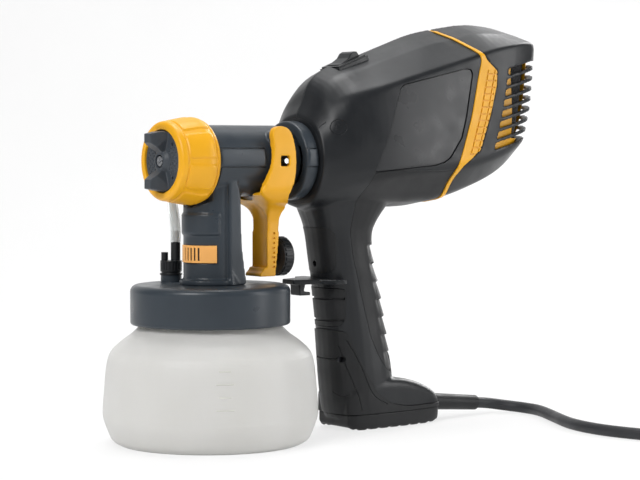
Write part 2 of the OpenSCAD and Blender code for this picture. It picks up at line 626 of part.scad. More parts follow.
// Half a section as [half width, height], from crown to keel, drawn in by i
function half_section(r, i) = let (
    q = [[0, r[2]], [r[3], r[4]], [r[5], r[6]], [r[7], r[8]], [r[9], r[10]], [r[11], r[12]], [0, r[13]]],
    m = [0, (r[2] + r[13]) / 2],
    raw = concat([q[0]], [for (k = [1 : 5]) each corner(q[k - 1], q[k], q[k + 1], r[14], i)], [q[6]])
  ) [for (p = raw) p[0] < 0.01 ? [0, p[1] - sign(p[1] - m[1]) * i] : p - i * unit(p - m)];
function slant(r) = (r[0] - r[1]) / (r[2] - r[13]);
function body_ring(r, i, dx = 0) = let (h = half_section(r, i), s = slant(r))
  [for (p = concat(h, [for (k = [len(h) - 2 : -1 : 1]) [-h[k][0], h[k][1]]]))
    [r[1] + s * (p[1] - r[13]) - dx, p[0], p[1] + axis_z]];
// The solid between two rings of points
module link(a, b) {
  n = len(a);
  hull() polyhedron(concat(a, b), concat(
    [[for (k = [0 : n - 1]) k], [for (k = [n - 1 : -1 : 0]) n + k]],
    [for (k = [0 : n - 1]) each [[(k + 1) % n, k, n + k], [(k + 1) % n, n + k, n + (k + 1) % n]]]
  ));
}
// The turbine housing's outer form, drawn in by i; its inside forms have half as many sections
module body(i) {
  rows = i > 2 ? coarse_rows : body_rows;
  last = len(rows) - 1;
  back = [for (k = [0 : last]) i > 2 ? i * max(0, min(1, (k - last + 3) / 2)) : 0];
  for (k = [0 : last - 1]) link(body_ring(rows[k], i, back[k]), body_ring(rows[k + 1], i, back[k + 1]));
}
// Each row is one level of the handle: height, middle x, half depth, half width
handle_rows = smooth([
  [axis_z - 12, 100, 32, handle_w + 6], [axis_z - 25, 98.5, 30.5, handle_w + 4.5],
  [axis_z - 36, 96.5, 24, handle_w + 2], [axis_z - 45, 95.7, 20.4, handle_w + 0.4],
  [110, 97, 19.8, handle_w], [98, 99.2, 20.1, handle_w], [85, 102, 21.2, handle_w],
  [65, 105.2, 21.8, handle_w + 0.5], [50, 107.2, 22.4, handle_w + 0.8], [30, 109.6, 23, handle_w + 1.2],
  [14, 112, 23.2, handle_w + 1.2], [foot_h - 3, 114, 23.4, handle_w + 1]
], 1);
function handle_ring(r, i) = [for (p = oval(r[2] - i, r[3] - i, 2.5, 24)) [r[1] + p[0], p[1], r[0]]];
// Each row is one section of the base: x, top, bottom, half width
base_rows = [
  [92, 24, 3, handle_w - 3], [97, 28, 0, handle_w - 0.5], [112, 31, 0, handle_w + 1.2],
  [132, 30.5, 0, handle_w + 1], [146, 27.5, 0, handle_w], [158, 23, 0, handle_w - 2],
  [165, 19, 0.6, handle_w - 4.5], [168.8, 15, 3, handle_w - 8]
];
function base_ring(r, i, dx) = [for (p = concat(
    arc([r[3] - i - 5, r[1] - i - 5], 5, 0, 90, 3), arc([-r[3] + i + 5, r[1] - i - 5], 5, 90, 180, 3),
    arc([-r[3] + i + 2, r[2] + 2], 2, 180, 270, 1), arc([r[3] - i - 2, r[2] + 2], 2, 270, 360, 1)
  )) [r[0] + dx, p[0], p[1]]];
module base(i) {
  last = len(base_rows) - 2;
  for (k = [0 : last])
    link(base_ring(base_rows[k], i, k == 0 ? i : 0), base_ring(base_rows[k + 1], i, k == last ? -i : 0));
}
module handle(i) {
  for (k = [0 : len(handle_rows) - 2])
    link(handle_ring(handle_rows[k], i), handle_ring(handle_rows[k + 1], i));
  base(i);
}
// Side view of the joint between the housing and the band, as [x, height over the spray axis]
band_line = [
  [157.5, -45], [156.5, -22], [156.2, -10], [163.2, 11.4], [175.2, 51.2], [178.6, 66], [169, 81], [158, 98]
];
// What lies between x0 and x1 behind that joint
module slanted(x0, x1) {
  n = len(band_line) - 1;
  side([
    for (p = band_line) [p[0] + x0, p[1] + axis_z],
    for (k = [n : -1 : 0]) [band_line[k][0] + x1, band_line[k][1] + axis_z]
  ], -60, 60);
}
// Side view of the band's cheeks
cheek = [
  [150, -10.5], [158.9, -10.1], [162, -3.7], [175.7, 6.6], [185, 33], [189.9, 46.8], [191.3, 56.4],
  [182.9, 63.4], [181.5, 67.5], [150, 67.5]
];
module cheek_prism(grow) {
  for (s = [-1, 1])
    side([for (p = cheek) [p[0] + (p[0] > 150 ? grow : 0), axis_z + p[1] + (p[1] > 30 ? grow : -grow)]],
      s > 0 ? 27 : -63, s > 0 ? 63 : -27);
}
band_w = 2.8;
cover_wall = 2.4;
cover_x = band_w + gap;
// Outlines in side view: side panel, soft grips, front cover
panel = [
  [95, -7], [139, -3.5], [147, -1.5], [152, 1.5], [161, 14], [171.5, 54], [170.5, 57], [166, 57.4],
  [118.4, 46.8], [115, 44.4]
];
panel_mid = [135, 25];
module panel_prism(i) {
  for (s = [-1, 1]) translate([0, s * 40, axis_z]) rotate([90, 0, 0]) linear_extrude(44, center = true)
    polygon([for (p = panel) p - i * unit(p - panel_mid)]);
}
rear_outline = [
  [99, axis_z - 17], [93, axis_z - 30], [91.5, axis_z - 43], [93.5, 108], [98, 92], [106.5, 59], [113, 46],
  [120, 37.5], [128, 33.2], [180, 33.2], [180, axis_z - 17]
];
finger_outline = [
  [50, 66], [83, 66], [85, 78], [85, 87], [70, 88.5], [70, 97.5], [83.5, 98], [83, 112], [82, 122],
  [78, 126], [50, 126]
];
cover_outline = [
  [60, foot_h], [60, 64], [80, 63.6], [91, 61], [100, 41], [112, 22.5], [122, 15.5], [136, 12.6],
  [180, 12.2], [180, foot_h]
];
module grip_of(outline, i) {
  intersection() {
    difference() {
      handle(0);
      handle(skin);
      body(0.02);
    }
    side([for (p = outline) p + [0, i]], -40, 40);
  }
}
// Switch seat, tilted with the housing's top
switch_at = [100.5, 0, axis_z + 59.4];
switch_tilt = -21.5;
bezel_t = 2.6;
window_l = bezel_l - 5;
window_w = bezel_w - 6.4;
switch_h = 10;
rocker_pin_r = 1.3;
module at_switch() translate(switch_at) rotate([0, switch_tilt, 0]) children();
// Housing screws: x, height, and the side their heads are on
screw_at = [[89, 106, 1], [88.5, 44.5, -1], [112.5, 131, 1], [151.5, 15, -1]];
screw_r = 1.4;
screw_head_r = 2.2;
boss_r = 4;
module screw_holes() {
  for (p = screw_at) {
    rod_y(-11.5, 11.5, screw_r + seat, p[0], p[1]);
    rod_y(p[2] > 0 ? 10.7 : -40, p[2] > 0 ? 40 : -10.7, screw_head_r + 0.3, p[0], p[1]);
  }
}
// A polygon's flats lie inside its corners, so a hole with 24 sides is drawn this much larger
function round_clear(r) = r / cos(180 / 24);
clamp_x = 156;
clamp_w = 4;
relief_tilt = 5.5;
relief_from = [clamp_x + clamp_w + 0.5, 0, 12.2];
relief_len = 48.5;
relief_r = 5.5;
flange_r = relief_r + 0.6;
flange_t = 3;
module at_relief() translate(relief_from) rotate([0, 90 + relief_tilt, 0]) children();

// ---------- housing shells ----------
module housing_form($fn = 24) {
  difference() {
    union() {
      difference() {
        body(0);
        body(wall);
        slanted(0, 200);
      }
      difference() {
        union() {
          handle(skin);
          difference() {
            handle(0);
            side(rear_outline, -40, 40);
            side(finger_outline, -40, 40);
            side(cover_outline, -40, 40);
          }
        }
        handle(skin + wall - 0.8);
        body(wall);
        translate([60, -40, -1]) cube([120, 80, foot_h + 1]);
      }
      // cradles that carry the motor and the turbine casing
      difference() {
        intersection() {
          body(1);
          union() {
            translate([can_x + 6, -50, axis_z - 4]) cube([3, 100, 90]);
            translate([casing_x + 8, -50, axis_z - 25]) cube([3, 100, 110]);
          }
        }
        difference() {
          slanted(-gap, 200);
          body(wall + 1.4);
        }
      }
      intersection() {
        handle(skin);
        union() {
          for (p = screw_at) rod_y(-12, 12, boss_r, p[0], p[1]);
        }
      }
    }
    rod_x(housing_x - 1, duct_x, round_clear(ring_r + seat));
    rod_x(duct_x - 1, casing_x + 20, duct_r + duct_wall + 0.4);
    rod_x(can_x - 2, casing_x, round_clear(can_r + 2 + seat), fan_z);
    rod_x(casing_x - 1, casing_x + casing_len, round_clear(casing_r + 2 + seat), fan_z);
    translate([casing_x - 1, -13.4, axis_z - 13.4]) cube([18, 26.8, 40]);
    at_switch() {
      translate([-window_l / 2 - 1.4, -window_w / 2 - 1.7, -20]) cube([window_l + 2.8, window_w + 3.4, 40]);
      translate([-bezel_l / 2 - seat, -bezel_w / 2 - seat, -2 - seat])
        cube([bezel_l + 2 * seat, bezel_w + 2 * seat, 20]);
    }
    difference() {
      panel_prism(0);
      body(panel_t);
    }
    at_relief() {
      translate([0, 0, -0.3]) cylinder(h = flange_t + 0.3 + seat, r = round_clear(flange_r + seat));
      cylinder(h = 30, r = round_clear(relief_r + seat));
    }
    screw_holes();
  }
}
module housing_left() color(shell_black) intersection() {
  housing_form();
  translate([50, -60, 0]) cube([200, 60, 280]);
}
module housing_right() color(shell_black) intersection() {
  housing_form();
  translate([50, 0, 0]) cube([200, 60, 280]);
}
module side_panels() {
  intersection() {
    difference() {
      body(0.4);
      body(panel_t);
    }
    panel_prism(gap);
  }
}
module side_panel_left() color([0.22, 0.22, 0.23]) intersection() {
  side_panels();
  translate([50, -60, 100]) cube([150, 59, 160]);
}
module side_panel_right() color([0.22, 0.22, 0.23]) intersection() {
  side_panels();
  translate([50, 1, 100]) cube([150, 59, 160]);
}
module accent_band() color(yellow) {
  difference() {
    intersection() {
      body(-0.5);
      slanted(0, band_w);
    }
    body(wall);
  }
  difference() {
    intersection() {
      body(-0.3);
      cheek_prism(0);
      slanted(0, 40);
    }
    body(cover_wall + 0.2);
  }
}
grille = [[188, 5], [203, 60.5], [226, 64], [245, 64], [245, 16], [216, 11], [200, 6]];
module rear_cover() color(shell_black) difference() {
  body(0);
  slanted(-200, cover_x);
  body(cover_wall);
  cheek_prism(gap);
  // grille openings, one over the other, round both sides and the end
  intersection() {
    union() {
      for (s = [-1, 1]) translate([0, s * 40, axis_z]) rotate([90, 0, 0]) linear_extrude(50, center = true)
        polygon(grille);
    }
    for (k = [0 : grille_n - 1]) translate([216, 0, axis_z + 15.5 + 6.3 * k]) rotate([0, -14, 0])
      translate([-40, -60, -grille_gap / 2]) cube([70, 120, grille_gap]);
  }
}
filter_x0 = 28;
module filter_frame() color([0.85, 0.6, 0.1]) difference() {
  union() {
    intersection() {
      body(cover_wall + 0.9);
      slanted(8, filter_x0 + 1);
    }
    intersection() {
      body(5);
      slanted(filter_x0, 90);
    }
  }
  intersection() {
    body(6);
    slanted(0, filter_x0 - 1);
  }
  intersection() {
    body(7);
    slanted(filter_x0 - 2, 90);
  }
  cheek_prism(2);
  // a window on each side
  translate([209, 0, axis_z + 46]) cube([16, 100, 34], center = true);
}
module filter_foam() color([0.3, 0.3, 0.3]) intersection() {
  body(7.3);
  slanted(filter_x0, 90);
}

// ---------- socket, duct and turbine ----------
module socket_ring() color(shell_black) difference() {
  rod_x(housing_x, duct_x, ring_r);
  rod_x(housing_x - 1, duct_x + 1, spigot_r + run_gap);
  // groove for the lugs, and the way in for them
  rod_x(lug_x - 0.4, lug_x + lug_t + 0.4, spigot_r + lug_h + gap);
  for (s = [0, 180]) translate([housing_x - 1, 0, axis_z]) rotate([s, 0, 0])
    rotate([0, 90, 0]) rotate([0, 0, 90 + 40 - 14]) rotate_extrude(angle = 28)
      translate([spigot_r - 1, 0]) square([lug_h + 0.8 + gap, lug_x - housing_x + 3]);
}
module socket_seal() color([0.6, 0.25, 0.15]) difference() {
  rod_x(spigot_x + 0.2, duct_x, spigot_r - 0.2);
  rod_x(spigot_x, duct_x + 2, spigot_r - 2.6);
}
module air_duct() color([0.35, 0.35, 0.36]) about_axis([
  [duct_x, spigot_r - 1], [duct_x, spigot_r + 2], [duct_x + 1.5, spigot_r + 2],
  [duct_x + 8, duct_r + duct_wall], [casing_x, duct_r + duct_wall], [casing_x, duct_r], [duct_x + 8, duct_r],
  [duct_x + 1.5, spigot_r - 1]
]);
module turbine_casing() color([0.3, 0.3, 0.32]) difference() {
  union() {
    rod_x(casing_x, casing_x + casing_len, casing_r, fan_z);
    translate([casing_x, -13, axis_z - 13]) cube([15, 26, 30]);
  }
  rod_x(casing_x + 2, casing_x + casing_len - 2, casing_r - 2, fan_z);
  rod_x(casing_x - 1, casing_x + 3, 9, fan_z);
  rod_x(casing_x + casing_len - 3, casing_x + casing_len + 1, 15, fan_z);
  rod_x(casing_x - 1, casing_x + 12, duct_r);
  translate([casing_x + 3, -9, axis_z - 6]) cube([9, 18, 16]);
}
stage_x = [casing_x + 4, casing_x + 20];
module impeller(x) {
  difference() {
    union() {
      rod_x(x, x + 1.6, casing_r - 3.5, fan_z);
      rod_x(x, x + 9, shaft_r + 3, fan_z);
      for (k = [0 : blades - 1]) translate([x + 1, 0, fan_z]) rotate([360 / blades * k, 0, 0])
        translate([0, -0.6, shaft_r + 4.5]) rotate([12, 0, 0]) cube([7.5, 1.2, casing_r - shaft_r - 9.5]);
    }
    rod_x(x - 1, x + 10, shaft_r + 0.02, fan_z);
  }
}
module impeller_front() color([0.75, 0.75, 0.77]) impeller(stage_x[0]);
module impeller_rear() color([0.75, 0.75, 0.77]) impeller(stage_x[1]);
module diffuser() color([0.45, 0.45, 0.46]) difference() {
  rod_x(casing_x + 15, casing_x + 18, casing_r - 2, fan_z);
  rod_x(casing_x + 14, casing_x + 19, shaft_r + 3, fan_z);
  for (k = [0 : 11]) translate([casing_x + 14, 0, fan_z]) rotate([30 * k, 0, 0]) translate([0, 0, 20])
    rotate([0, 90, 0]) cylinder(h = 5, r = 3);
}
module motor_can() color([0.4, 0.4, 0.42]) difference() {
  rod_x(can_x, casing_x, can_r, fan_z);
  rod_x(can_x + 2, casing_x - 2, can_r - 1.5, fan_z);
  rod_x(can_x - 1, casing_x + 1, 8.05, fan_z);
}
module stator() color([0.55, 0.35, 0.2]) difference() {
  rod_x(can_x + 8, can_x + 26, can_r - 1.5, fan_z);
  rod_x(can_x + 7, can_x + 27, can_r - 6.5, fan_z);
}
module armature() color([0.6, 0.4, 0.25]) difference() {
  union() {
    rod_x(can_x + 9, can_x + 25, can_r - 7.2, fan_z);
    rod_x(can_x + 3, can_x + 9.5, 7, fan_z);
  }
  rod_x(can_x, can_x + 40, shaft_r + 0.02, fan_z);
}
module motor_shaft() color(steel) rod_x(can_x - 3, casing_x + casing_len - 3, shaft_r, fan_z);
module motor_bearings() color(steel) for (x = [can_x - 1, casing_x - 2]) difference() {
  rod_x(x, x + 3.6, 8, fan_z);
  rod_x(x - 1, x + 5, shaft_r + run_gap, fan_z);
}
module mount_ring(x, r) difference() {
  rod_x(x, x + 7, r + 2, fan_z);
  rod_x(x - 1, x + 8, r, fan_z);
  // the ring gives way to the duct below it
  rod_x(x - 2, x + 9, duct_r + duct_wall + 0.4);
}
module can_mount() color(grip_black) mount_ring(can_x + 4, can_r);
module casing_mount() color(grip_black) difference() {
  mount_ring(casing_x + 6, casing_r);
  translate([casing_x, -13.2, axis_z - 14]) cube([15.2, 26.4, 30]);
}

// ---------- switch ----------
module switch_bezel() color(grip_black) at_switch() difference() {
  union() {
    translate([-bezel_l / 2, -bezel_w / 2, -2]) cube([bezel_l, bezel_w, 2 + bezel_t - 1]);
    translate([-bezel_l / 2 + 1, -bezel_w / 2 + 1, -2]) cube([bezel_l - 2, bezel_w - 2, 2 + bezel_t]);
    translate([-window_l / 2 - 1.2, -window_w / 2 - 1.2, -6]) cube([window_l + 2.4, window_w + 2.4, 6]);
  }
  translate([-window_l / 2, -window_w / 2, -8]) cube([window_l, window_w, 20]);
  rod_y(-window_w / 2 - 2, window_w / 2 + 2, rocker_pin_r + run_gap, 0, -3.5);
}
module switch_body() color([0.2, 0.2, 0.2]) at_switch() {
  difference() {
    translate([-window_l / 2 - 0.5, -window_w / 2 - 1.5, -6 - switch_h])
      cube([window_l + 1, window_w + 3, switch_h]);
    translate([-window_l / 2 + 0.5, -window_w / 2, -12]) cube([window_l - 1, window_w, 20]);
  }
  for (x = [-7, 0, 7]) translate([x - 0.4, -2.5, -6 - switch_h - 6]) cube([0.8, 5, 7]);
}
module power_rocker() color(grip_black) at_switch() {
  side([
    [-window_l / 2 + 1.3, 2.8], [-window_l / 2 + 1.3, -1.5], [-3, -6.5], [3, -6.5],
    [window_l / 2 - 1.3, -1.5], [window_l / 2 - 1.3, 3.6], [window_l / 2 - 2, 5.8],
    [window_l / 2 - 4, 6.6], [window_l / 2 - 6.4, 6.3], [0, 4.2], [-window_l / 2 + 4, 3]
  ], -window_w / 2 + gap, window_w / 2 - gap);
  rod_y(-window_w / 2 - 1, window_w / 2 + 1, rocker_pin_r, 0, -3.5);
}

// ---------- grips, base and hook ----------
module rear_grip($fn = 24) color(grip_black) difference() {
  grip_of(rear_outline, 0);
  // shallow steps down the back
  for (k = [0 : 13]) translate([146, 0, 44 + 6.2 * k]) rotate([0, 20, 0]) cube([40, 60, 1.4], center = true);
  screw_holes();
}
module finger_grip($fn = 24) color(grip_black) difference() {
  grip_of(finger_outline, 0);
  // small round recess at the front, and the ribs under it
  translate([70, 0, 104]) rotate([0, 90, 0]) cylinder(h = 30, r = 1.8);
  for (k = [0 : 2]) translate([76, 0, 70 + 5.6 * k]) cube([12, 60, 1], center = true);
  screw_holes();
}
module front_cover($fn = 24) color(shell_black) difference() {
  intersection() {
    difference() {
      handle(0);
      handle(skin);
    }
    side(cover_outline, -40, 40);
  }
  at_relief() cylinder(h = 40, r = round_clear(relief_r + seat));
  screw_holes();
}
module base_foot($fn = 24) color(grip_black) difference() {
  handle(0);
  translate([50, -50, foot_h]) cube([140, 100, 200]);
  difference() {
    handle(3);
    translate([50, -50, -1]) cube([140, 100, 4]);
  }
  at_relief() cylinder(h = 40, r = round_clear(relief_r + seat));
  for (p = screw_at) rod_y(-20, 20, boss_r + 0.2, p[0], p[1]);
}
hook_z = 91.5;
module hook_plate() color(grip_black) {
  difference() {
    translate([0, 0, hook_z]) linear_extrude(hook_t) difference() {
      polygon([
        [57, -6], [60, -8], [72, -12], [78, -21.5], [84, -22.5], [86, -21.5],
        [86, 21.5], [84, 22.5], [78, 21.5], [72, 12], [60, 8], [57, 6]
      ]);
      translate([100.5, 0]) polygon(oval(20.9, handle_w + 0.3, 2.5, 48));
      translate([86.2, -40]) square([60, 80]);
    }
  }
  side([
    [62, hook_z + 1], [67, hook_z + 1], [65.6, hook_z - 4.4], [70.5, hook_z - 5], [70.5, hook_z - 7],
    [62.6, hook_z - 7]
  ], -5, 5);
}
module housing_screws() color(steel) for (p = screw_at) difference() {
  union() {
    rod_y(-11, 11, screw_r, p[0], p[1]);
    rod_y(p[2] > 0 ? 10.8 : -12.8, p[2] > 0 ? 12.8 : -10.8, screw_head_r, p[0], p[1]);
  }
  translate([p[0] - 1.4, p[2] * 12.8 - 1, p[1] - 0.4]) cube([2.8, 2, 0.8]);
  translate([p[0] - 0.4, p[2] * 12.8 - 1, p[1] - 1.4]) cube([0.8, 2, 2.8]);
}
core_r = 3.6;
module cord_clamp() color([0.3, 0.3, 0.3]) difference() {
  translate([clamp_x, -8.5, 3]) cube([clamp_w, 17, 13.6]);
  at_relief() translate([0, 0, -20]) cylinder(h = 30, r = core_r + seat);
}
module strain_relief() color(grip_black) at_relief() {
  translate([0, 0, -clamp_w - 0.6]) cylinder(h = clamp_w + 2, r = core_r);
  cylinder(h = flange_t, r = flange_r);
  translate([0, 0, flange_t - 1]) cylinder(h = relief_len - flange_t + 1, r1 = relief_r, r2 = relief_r - 0.7);
}

// ---------- cord ----------
cord_r = cord_d / 2;
relief_end = relief_from + relief_len * [cos(relief_tilt), 0, -sin(relief_tilt)];
coil_at = [272, -196];
coil_pitch = cord_d + 0.6;
coil_out_r = coil_in_r + coil_pitch * coil_turns;
coil_end_x = coil_at[0] - coil_out_r;
cord_route = [
  [208.8, 0, 7.5], [216, 0, 6.8], [222, -1, 6], [228, -4, 5], [233, -9, 4.2], [236, -15, 3.8],
  [237, -22, 3.6], [236.5, -29, 3.6], [234, -37, 3.6], [230, -46, 3.6], [225, -56, 3.6],
  [219, -68, 3.6], [213, -80, 3.6], [208, -92, 3.6], [205, -104, 3.6], [203.5, -117, 3.6],
  [204, -130, 3.6], [206.5, -143, 3.6], [210, -156, 3.6], [213.5, -168, 3.6], [216.5, -178, 3.6],
  [217.6, -184, 3.6], [coil_end_x, coil_at[1] + cord_d + 2, 3.6], [coil_end_x, coil_at[1] + cord_d, 3.6]
];
module power_cord() color([0.18, 0.18, 0.19]) sweep(smooth(cord_route, 2), cord_r, 10);
// The coil winds in over the lower layer, climbs where it turns back, and winds out over the upper one
coil_steps = 24;
function coil_point(k) = let (
    t = k / coil_steps, back = max(t - coil_turns, 0), climb = min(max((t - coil_turns + 0.25) * 2, 0), 1),
    r = coil_out_r - coil_pitch * (t - 2 * back), a = 180 + 360 * t
  ) [coil_at[0] + r * cos(a), coil_at[1] + r * sin(a), cord_r + coil_pitch * climb];
coil_route = concat(
  [[coil_end_x, coil_at[1] + cord_d, cord_r]],
  [for (k = [0 : 2 * coil_turns * coil_steps]) coil_point(k)],
  [[coil_end_x, coil_at[1] - cord_d, cord_r + coil_pitch]]
);
module cord_coil() color([0.18, 0.18, 0.19]) sweep(coil_route, cord_r, 6);
plug_y = coil_at[1] - cord_d;
plug_z = cord_r + coil_pitch;
module plug_body() color([0.15, 0.15, 0.16]) translate([coil_end_x, plug_y, plug_z]) {
  rotate([90, 0, 0]) cylinder(h = 8, r1 = 4, r2 = 3.8);
  hull() {
    translate([-4, -8, -3.6]) cube([8, 2, 7.2]);
    translate([-8, -27, -4]) cube([16, 13, 8]);
  }
}
module plug_blades() color(steel) for (s = [-1, 1])
  translate([coil_end_x + 6.35 * s - 0.75, plug_y - 27 - 17, plug_z - 3.2]) cube([1.5, 17, 6.4]);

cord_line = smooth(cord_route, 2);
echo(cord_length = total([for (i = [1 : len(cord_line) - 1]) norm(cord_line[i] - cord_line[i - 1])]));
echo(coil_length = total([for (i = [1 : len(coil_route) - 1]) norm(coil_route[i] - coil_route[i - 1])]));
echo(relief_end = relief_end);
// Least gap between the coil's own turns, over points more than half a turn apart
echo(coil_gap = min([
  for (i = [0 : 2 : len(coil_route) - 1], j = [i + 14 : 2 : len(coil_route) - 1])
    norm(coil_route[i] - coil_route[j])
]) - cord_d);

cup();
cup_gasket();
cup_lid();
valve_membrane();
valve_cap();
air_tube();
suction_tube();
head_body();
column_insert();
nozzle();
air_cap();
union_nut();
needle();
needle_pin();
needle_gland();
needle_spring();
spring_seat();
trigger();
trigger_pin();
flow_knob();
knob_stud();
housing_left();
housing_right();
side_panel_left();
side_panel_right();
accent_band();
rear_cover();
filter_frame();
filter_foam();
socket_ring();
socket_seal();
air_duct();
turbine_casing();
diffuser();
impeller_front();
impeller_rear();
motor_can();
stator();
armature();
motor_shaft();
motor_bearings();
can_mount();
casing_mount();
switch_bezel();
switch_body();
power_rocker();
rear_grip();
finger_grip();
front_cover();
base_foot();
hook_plate();
housing_screws();
cord_clamp();
strain_relief();
power_cord();
cord_coil();
plug_body();
plug_blades();
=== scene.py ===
import math

import bmesh
import bpy
from mathutils import Matrix, Vector


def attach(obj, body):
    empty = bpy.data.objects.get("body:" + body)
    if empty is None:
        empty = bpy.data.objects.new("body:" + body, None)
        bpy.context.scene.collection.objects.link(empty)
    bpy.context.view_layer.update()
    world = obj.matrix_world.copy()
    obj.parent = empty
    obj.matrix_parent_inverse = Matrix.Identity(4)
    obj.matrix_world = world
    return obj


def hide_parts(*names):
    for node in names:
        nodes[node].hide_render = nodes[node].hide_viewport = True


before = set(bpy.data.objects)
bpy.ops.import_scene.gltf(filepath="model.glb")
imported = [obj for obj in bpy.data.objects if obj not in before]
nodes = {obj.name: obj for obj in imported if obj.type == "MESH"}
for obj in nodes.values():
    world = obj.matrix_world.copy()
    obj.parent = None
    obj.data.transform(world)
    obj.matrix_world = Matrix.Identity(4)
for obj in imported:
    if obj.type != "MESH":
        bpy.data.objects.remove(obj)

bpy.context.view_layer.update()
MM = 0.001
scene = bpy.context.scene
scene.view_settings.view_transform = "Standard"

# Heights and places of the sprayer, in millimetres
AXIS_Z = 167.0
DECK_Z = 93.9
BODY_W = 42.5
NECK_R = 28.3
HANDLE_W = 18.0
FOOT_H = 10.0
SKIN = 2.0
WALL = 3.0
HOUSING_X = 63.3

# ---------- camera ----------
cam_data = bpy.data.cameras.new("camera")
camera = bpy.data.objects.new("camera", cam_data)
scene.collection.objects.link(camera)
camera.location = (-0.6613, -0.9857, 0.1735)
camera.rotation_euler = (math.radians(90 - 2.577), 0, math.radians(-37))
cam_data.sensor_width = 36
cam_data.lens = 112.5
cam_data.clip_start, cam_data.clip_end = 0.01, 20
scene.camera = camera


# ---------- shared making ----------
def deselect():
    """Leaves edit mode with nothing selected."""
    if bpy.context.object and bpy.context.object.mode != "OBJECT":
        bpy.ops.object.mode_set(mode="OBJECT")
    bpy.ops.object.select_all(action="DESELECT")


def pick(*pieces):
    """Selects just these, the first of them active."""
    deselect()
    for p in pieces:
        p.select_set(True)
    bpy.context.view_layer.objects.active = pieces[0]


def apply_modifier(piece, kind, **values):
    """Adds one modifier, sets it and applies it."""
    pick(piece)
    m = piece.modifiers.new(kind, kind)
    for key, value in values.items():
        setattr(m, key, value)
    bpy.ops.object.modifier_apply(modifier=m.name)
    return piece


def cut(piece, *tools, how="DIFFERENCE", keep=False):
    """Cuts, joins or crosses a piece with tools."""
    for tool in tools:
        before = len(piece.data.polygons)
        apply_modifier(piece, "BOOLEAN", operation=how, object=tool, solver="MANIFOLD")
        if len(piece.data.polygons) == before or not len(piece.data.polygons):
            print("cut: look at", piece.name, how, tool.name, before, len(piece.data.polygons))
    if not keep:
        drop(*tools)
    return piece


def drop(*tools):
    """Throws away forms that were only tools."""
    for tool in tools:
        bpy.data.objects.remove(tool)


def join(piece, *others):
    """Makes several meshes one object, without merging them."""
    pick(piece, *others)
    bpy.ops.object.join()
    return piece


def twin(piece, name):
    """A copy of a finished form, with its own mesh."""
    other = piece.copy()
    other.data = piece.data.copy()
    other.name = name
    scene.collection.objects.link(other)
    return other


def node_copy(*names, name):
    """A merged copy of the meshes of CAD nodes, to shape further."""
    made = []
    for n in names:
        o = nodes[n].copy()
        o.data = nodes[n].data.copy()
        o.parent = None
        for key in list(o.keys()):
            del o[key]
        scene.collection.objects.link(o)
        made.append(o)
    piece = join(*made) if len(made) > 1 else made[0]
    pick(piece)
    piece.name = name
    piece.data.materials.clear()
    bpy.ops.object.mode_set(mode="EDIT")
    bpy.ops.mesh.customdata_custom_splitnormals_clear()
    bpy.ops.mesh.select_all(action="SELECT")
    bpy.ops.mesh.remove_doubles(threshold=1e-6)
    bpy.ops.object.mode_set(mode="OBJECT")
    return piece


def softened(piece, voxel, rounds):
    """Rounds all edges as a mould does: an even mesh, then a few rounds of smoothing."""
    apply_modifier(piece, "REMESH", mode="VOXEL", voxel_size=voxel * MM, adaptivity=0)
    return apply_modifier(piece, "SMOOTH", factor=0.5, iterations=rounds)


def loft(name, rings):
    """A closed form through rings of points in millimetres, extruded ring by ring."""
    deselect()
    n = len(rings[0])
    bpy.ops.mesh.primitive_circle_add(vertices=n, fill_type="NGON", radius=0.01)
    piece = bpy.context.object
    piece.name = name
    piece.data.name = name
    bpy.ops.object.mode_set(mode="EDIT")
    bm = bmesh.from_edit_mesh(piece.data)
    place = {}
    for face in bm.faces:
        for v, p in zip(face.verts, rings[0]):
            v.co = Vector(p) * MM
            place[tuple(v.co)] = len(place)
    for ring in rings[1:]:
        bmesh.update_edit_mesh(piece.data)
        bpy.ops.mesh.extrude_region_move()
        bm = bmesh.from_edit_mesh(piece.data)
        moving = [(v, place[tuple(v.co)]) for v in bm.verts if v.select]
        place = {}
        for v, k in moving:
            v.co = Vector(ring[k]) * MM
            place[tuple(v.co)] = k
        assert len(place) == n, name + " has two ring points in one place"
    bmesh.update_edit_mesh(piece.data)
    bpy.ops.mesh.select_all(action="SELECT")
    bpy.ops.mesh.normals_make_consistent(inside=False)
    bpy.ops.object.mode_set(mode="OBJECT")
    return piece


def side_plate(name, outline, y0, y1):
    """A side view outline of [x, z] given a thickness along Y."""
    return loft(name, [[(p[0], y, p[1]) for p in outline] for y in (y0, y1)])


def end_plate(name, outline, x0, x1):
    """An outline of [y, z] given a length along X."""
    return loft(name, [[(x, p[0], p[1]) for p in outline] for x in (x0, x1)])


def top_plate(name, outline, z0, z1):
    """An outline of [x, y] given a height."""
    return loft(name, [[(p[0], p[1], z) for p in outline] for z in (z0, z1)])


def block(name, x, y, z):
    """A cutting block between two corners, given as pairs."""
    return top_plate(name, [(x[0], y[0]), (x[1], y[0]), (x[1], y[1]), (x[0], y[1])], *z)


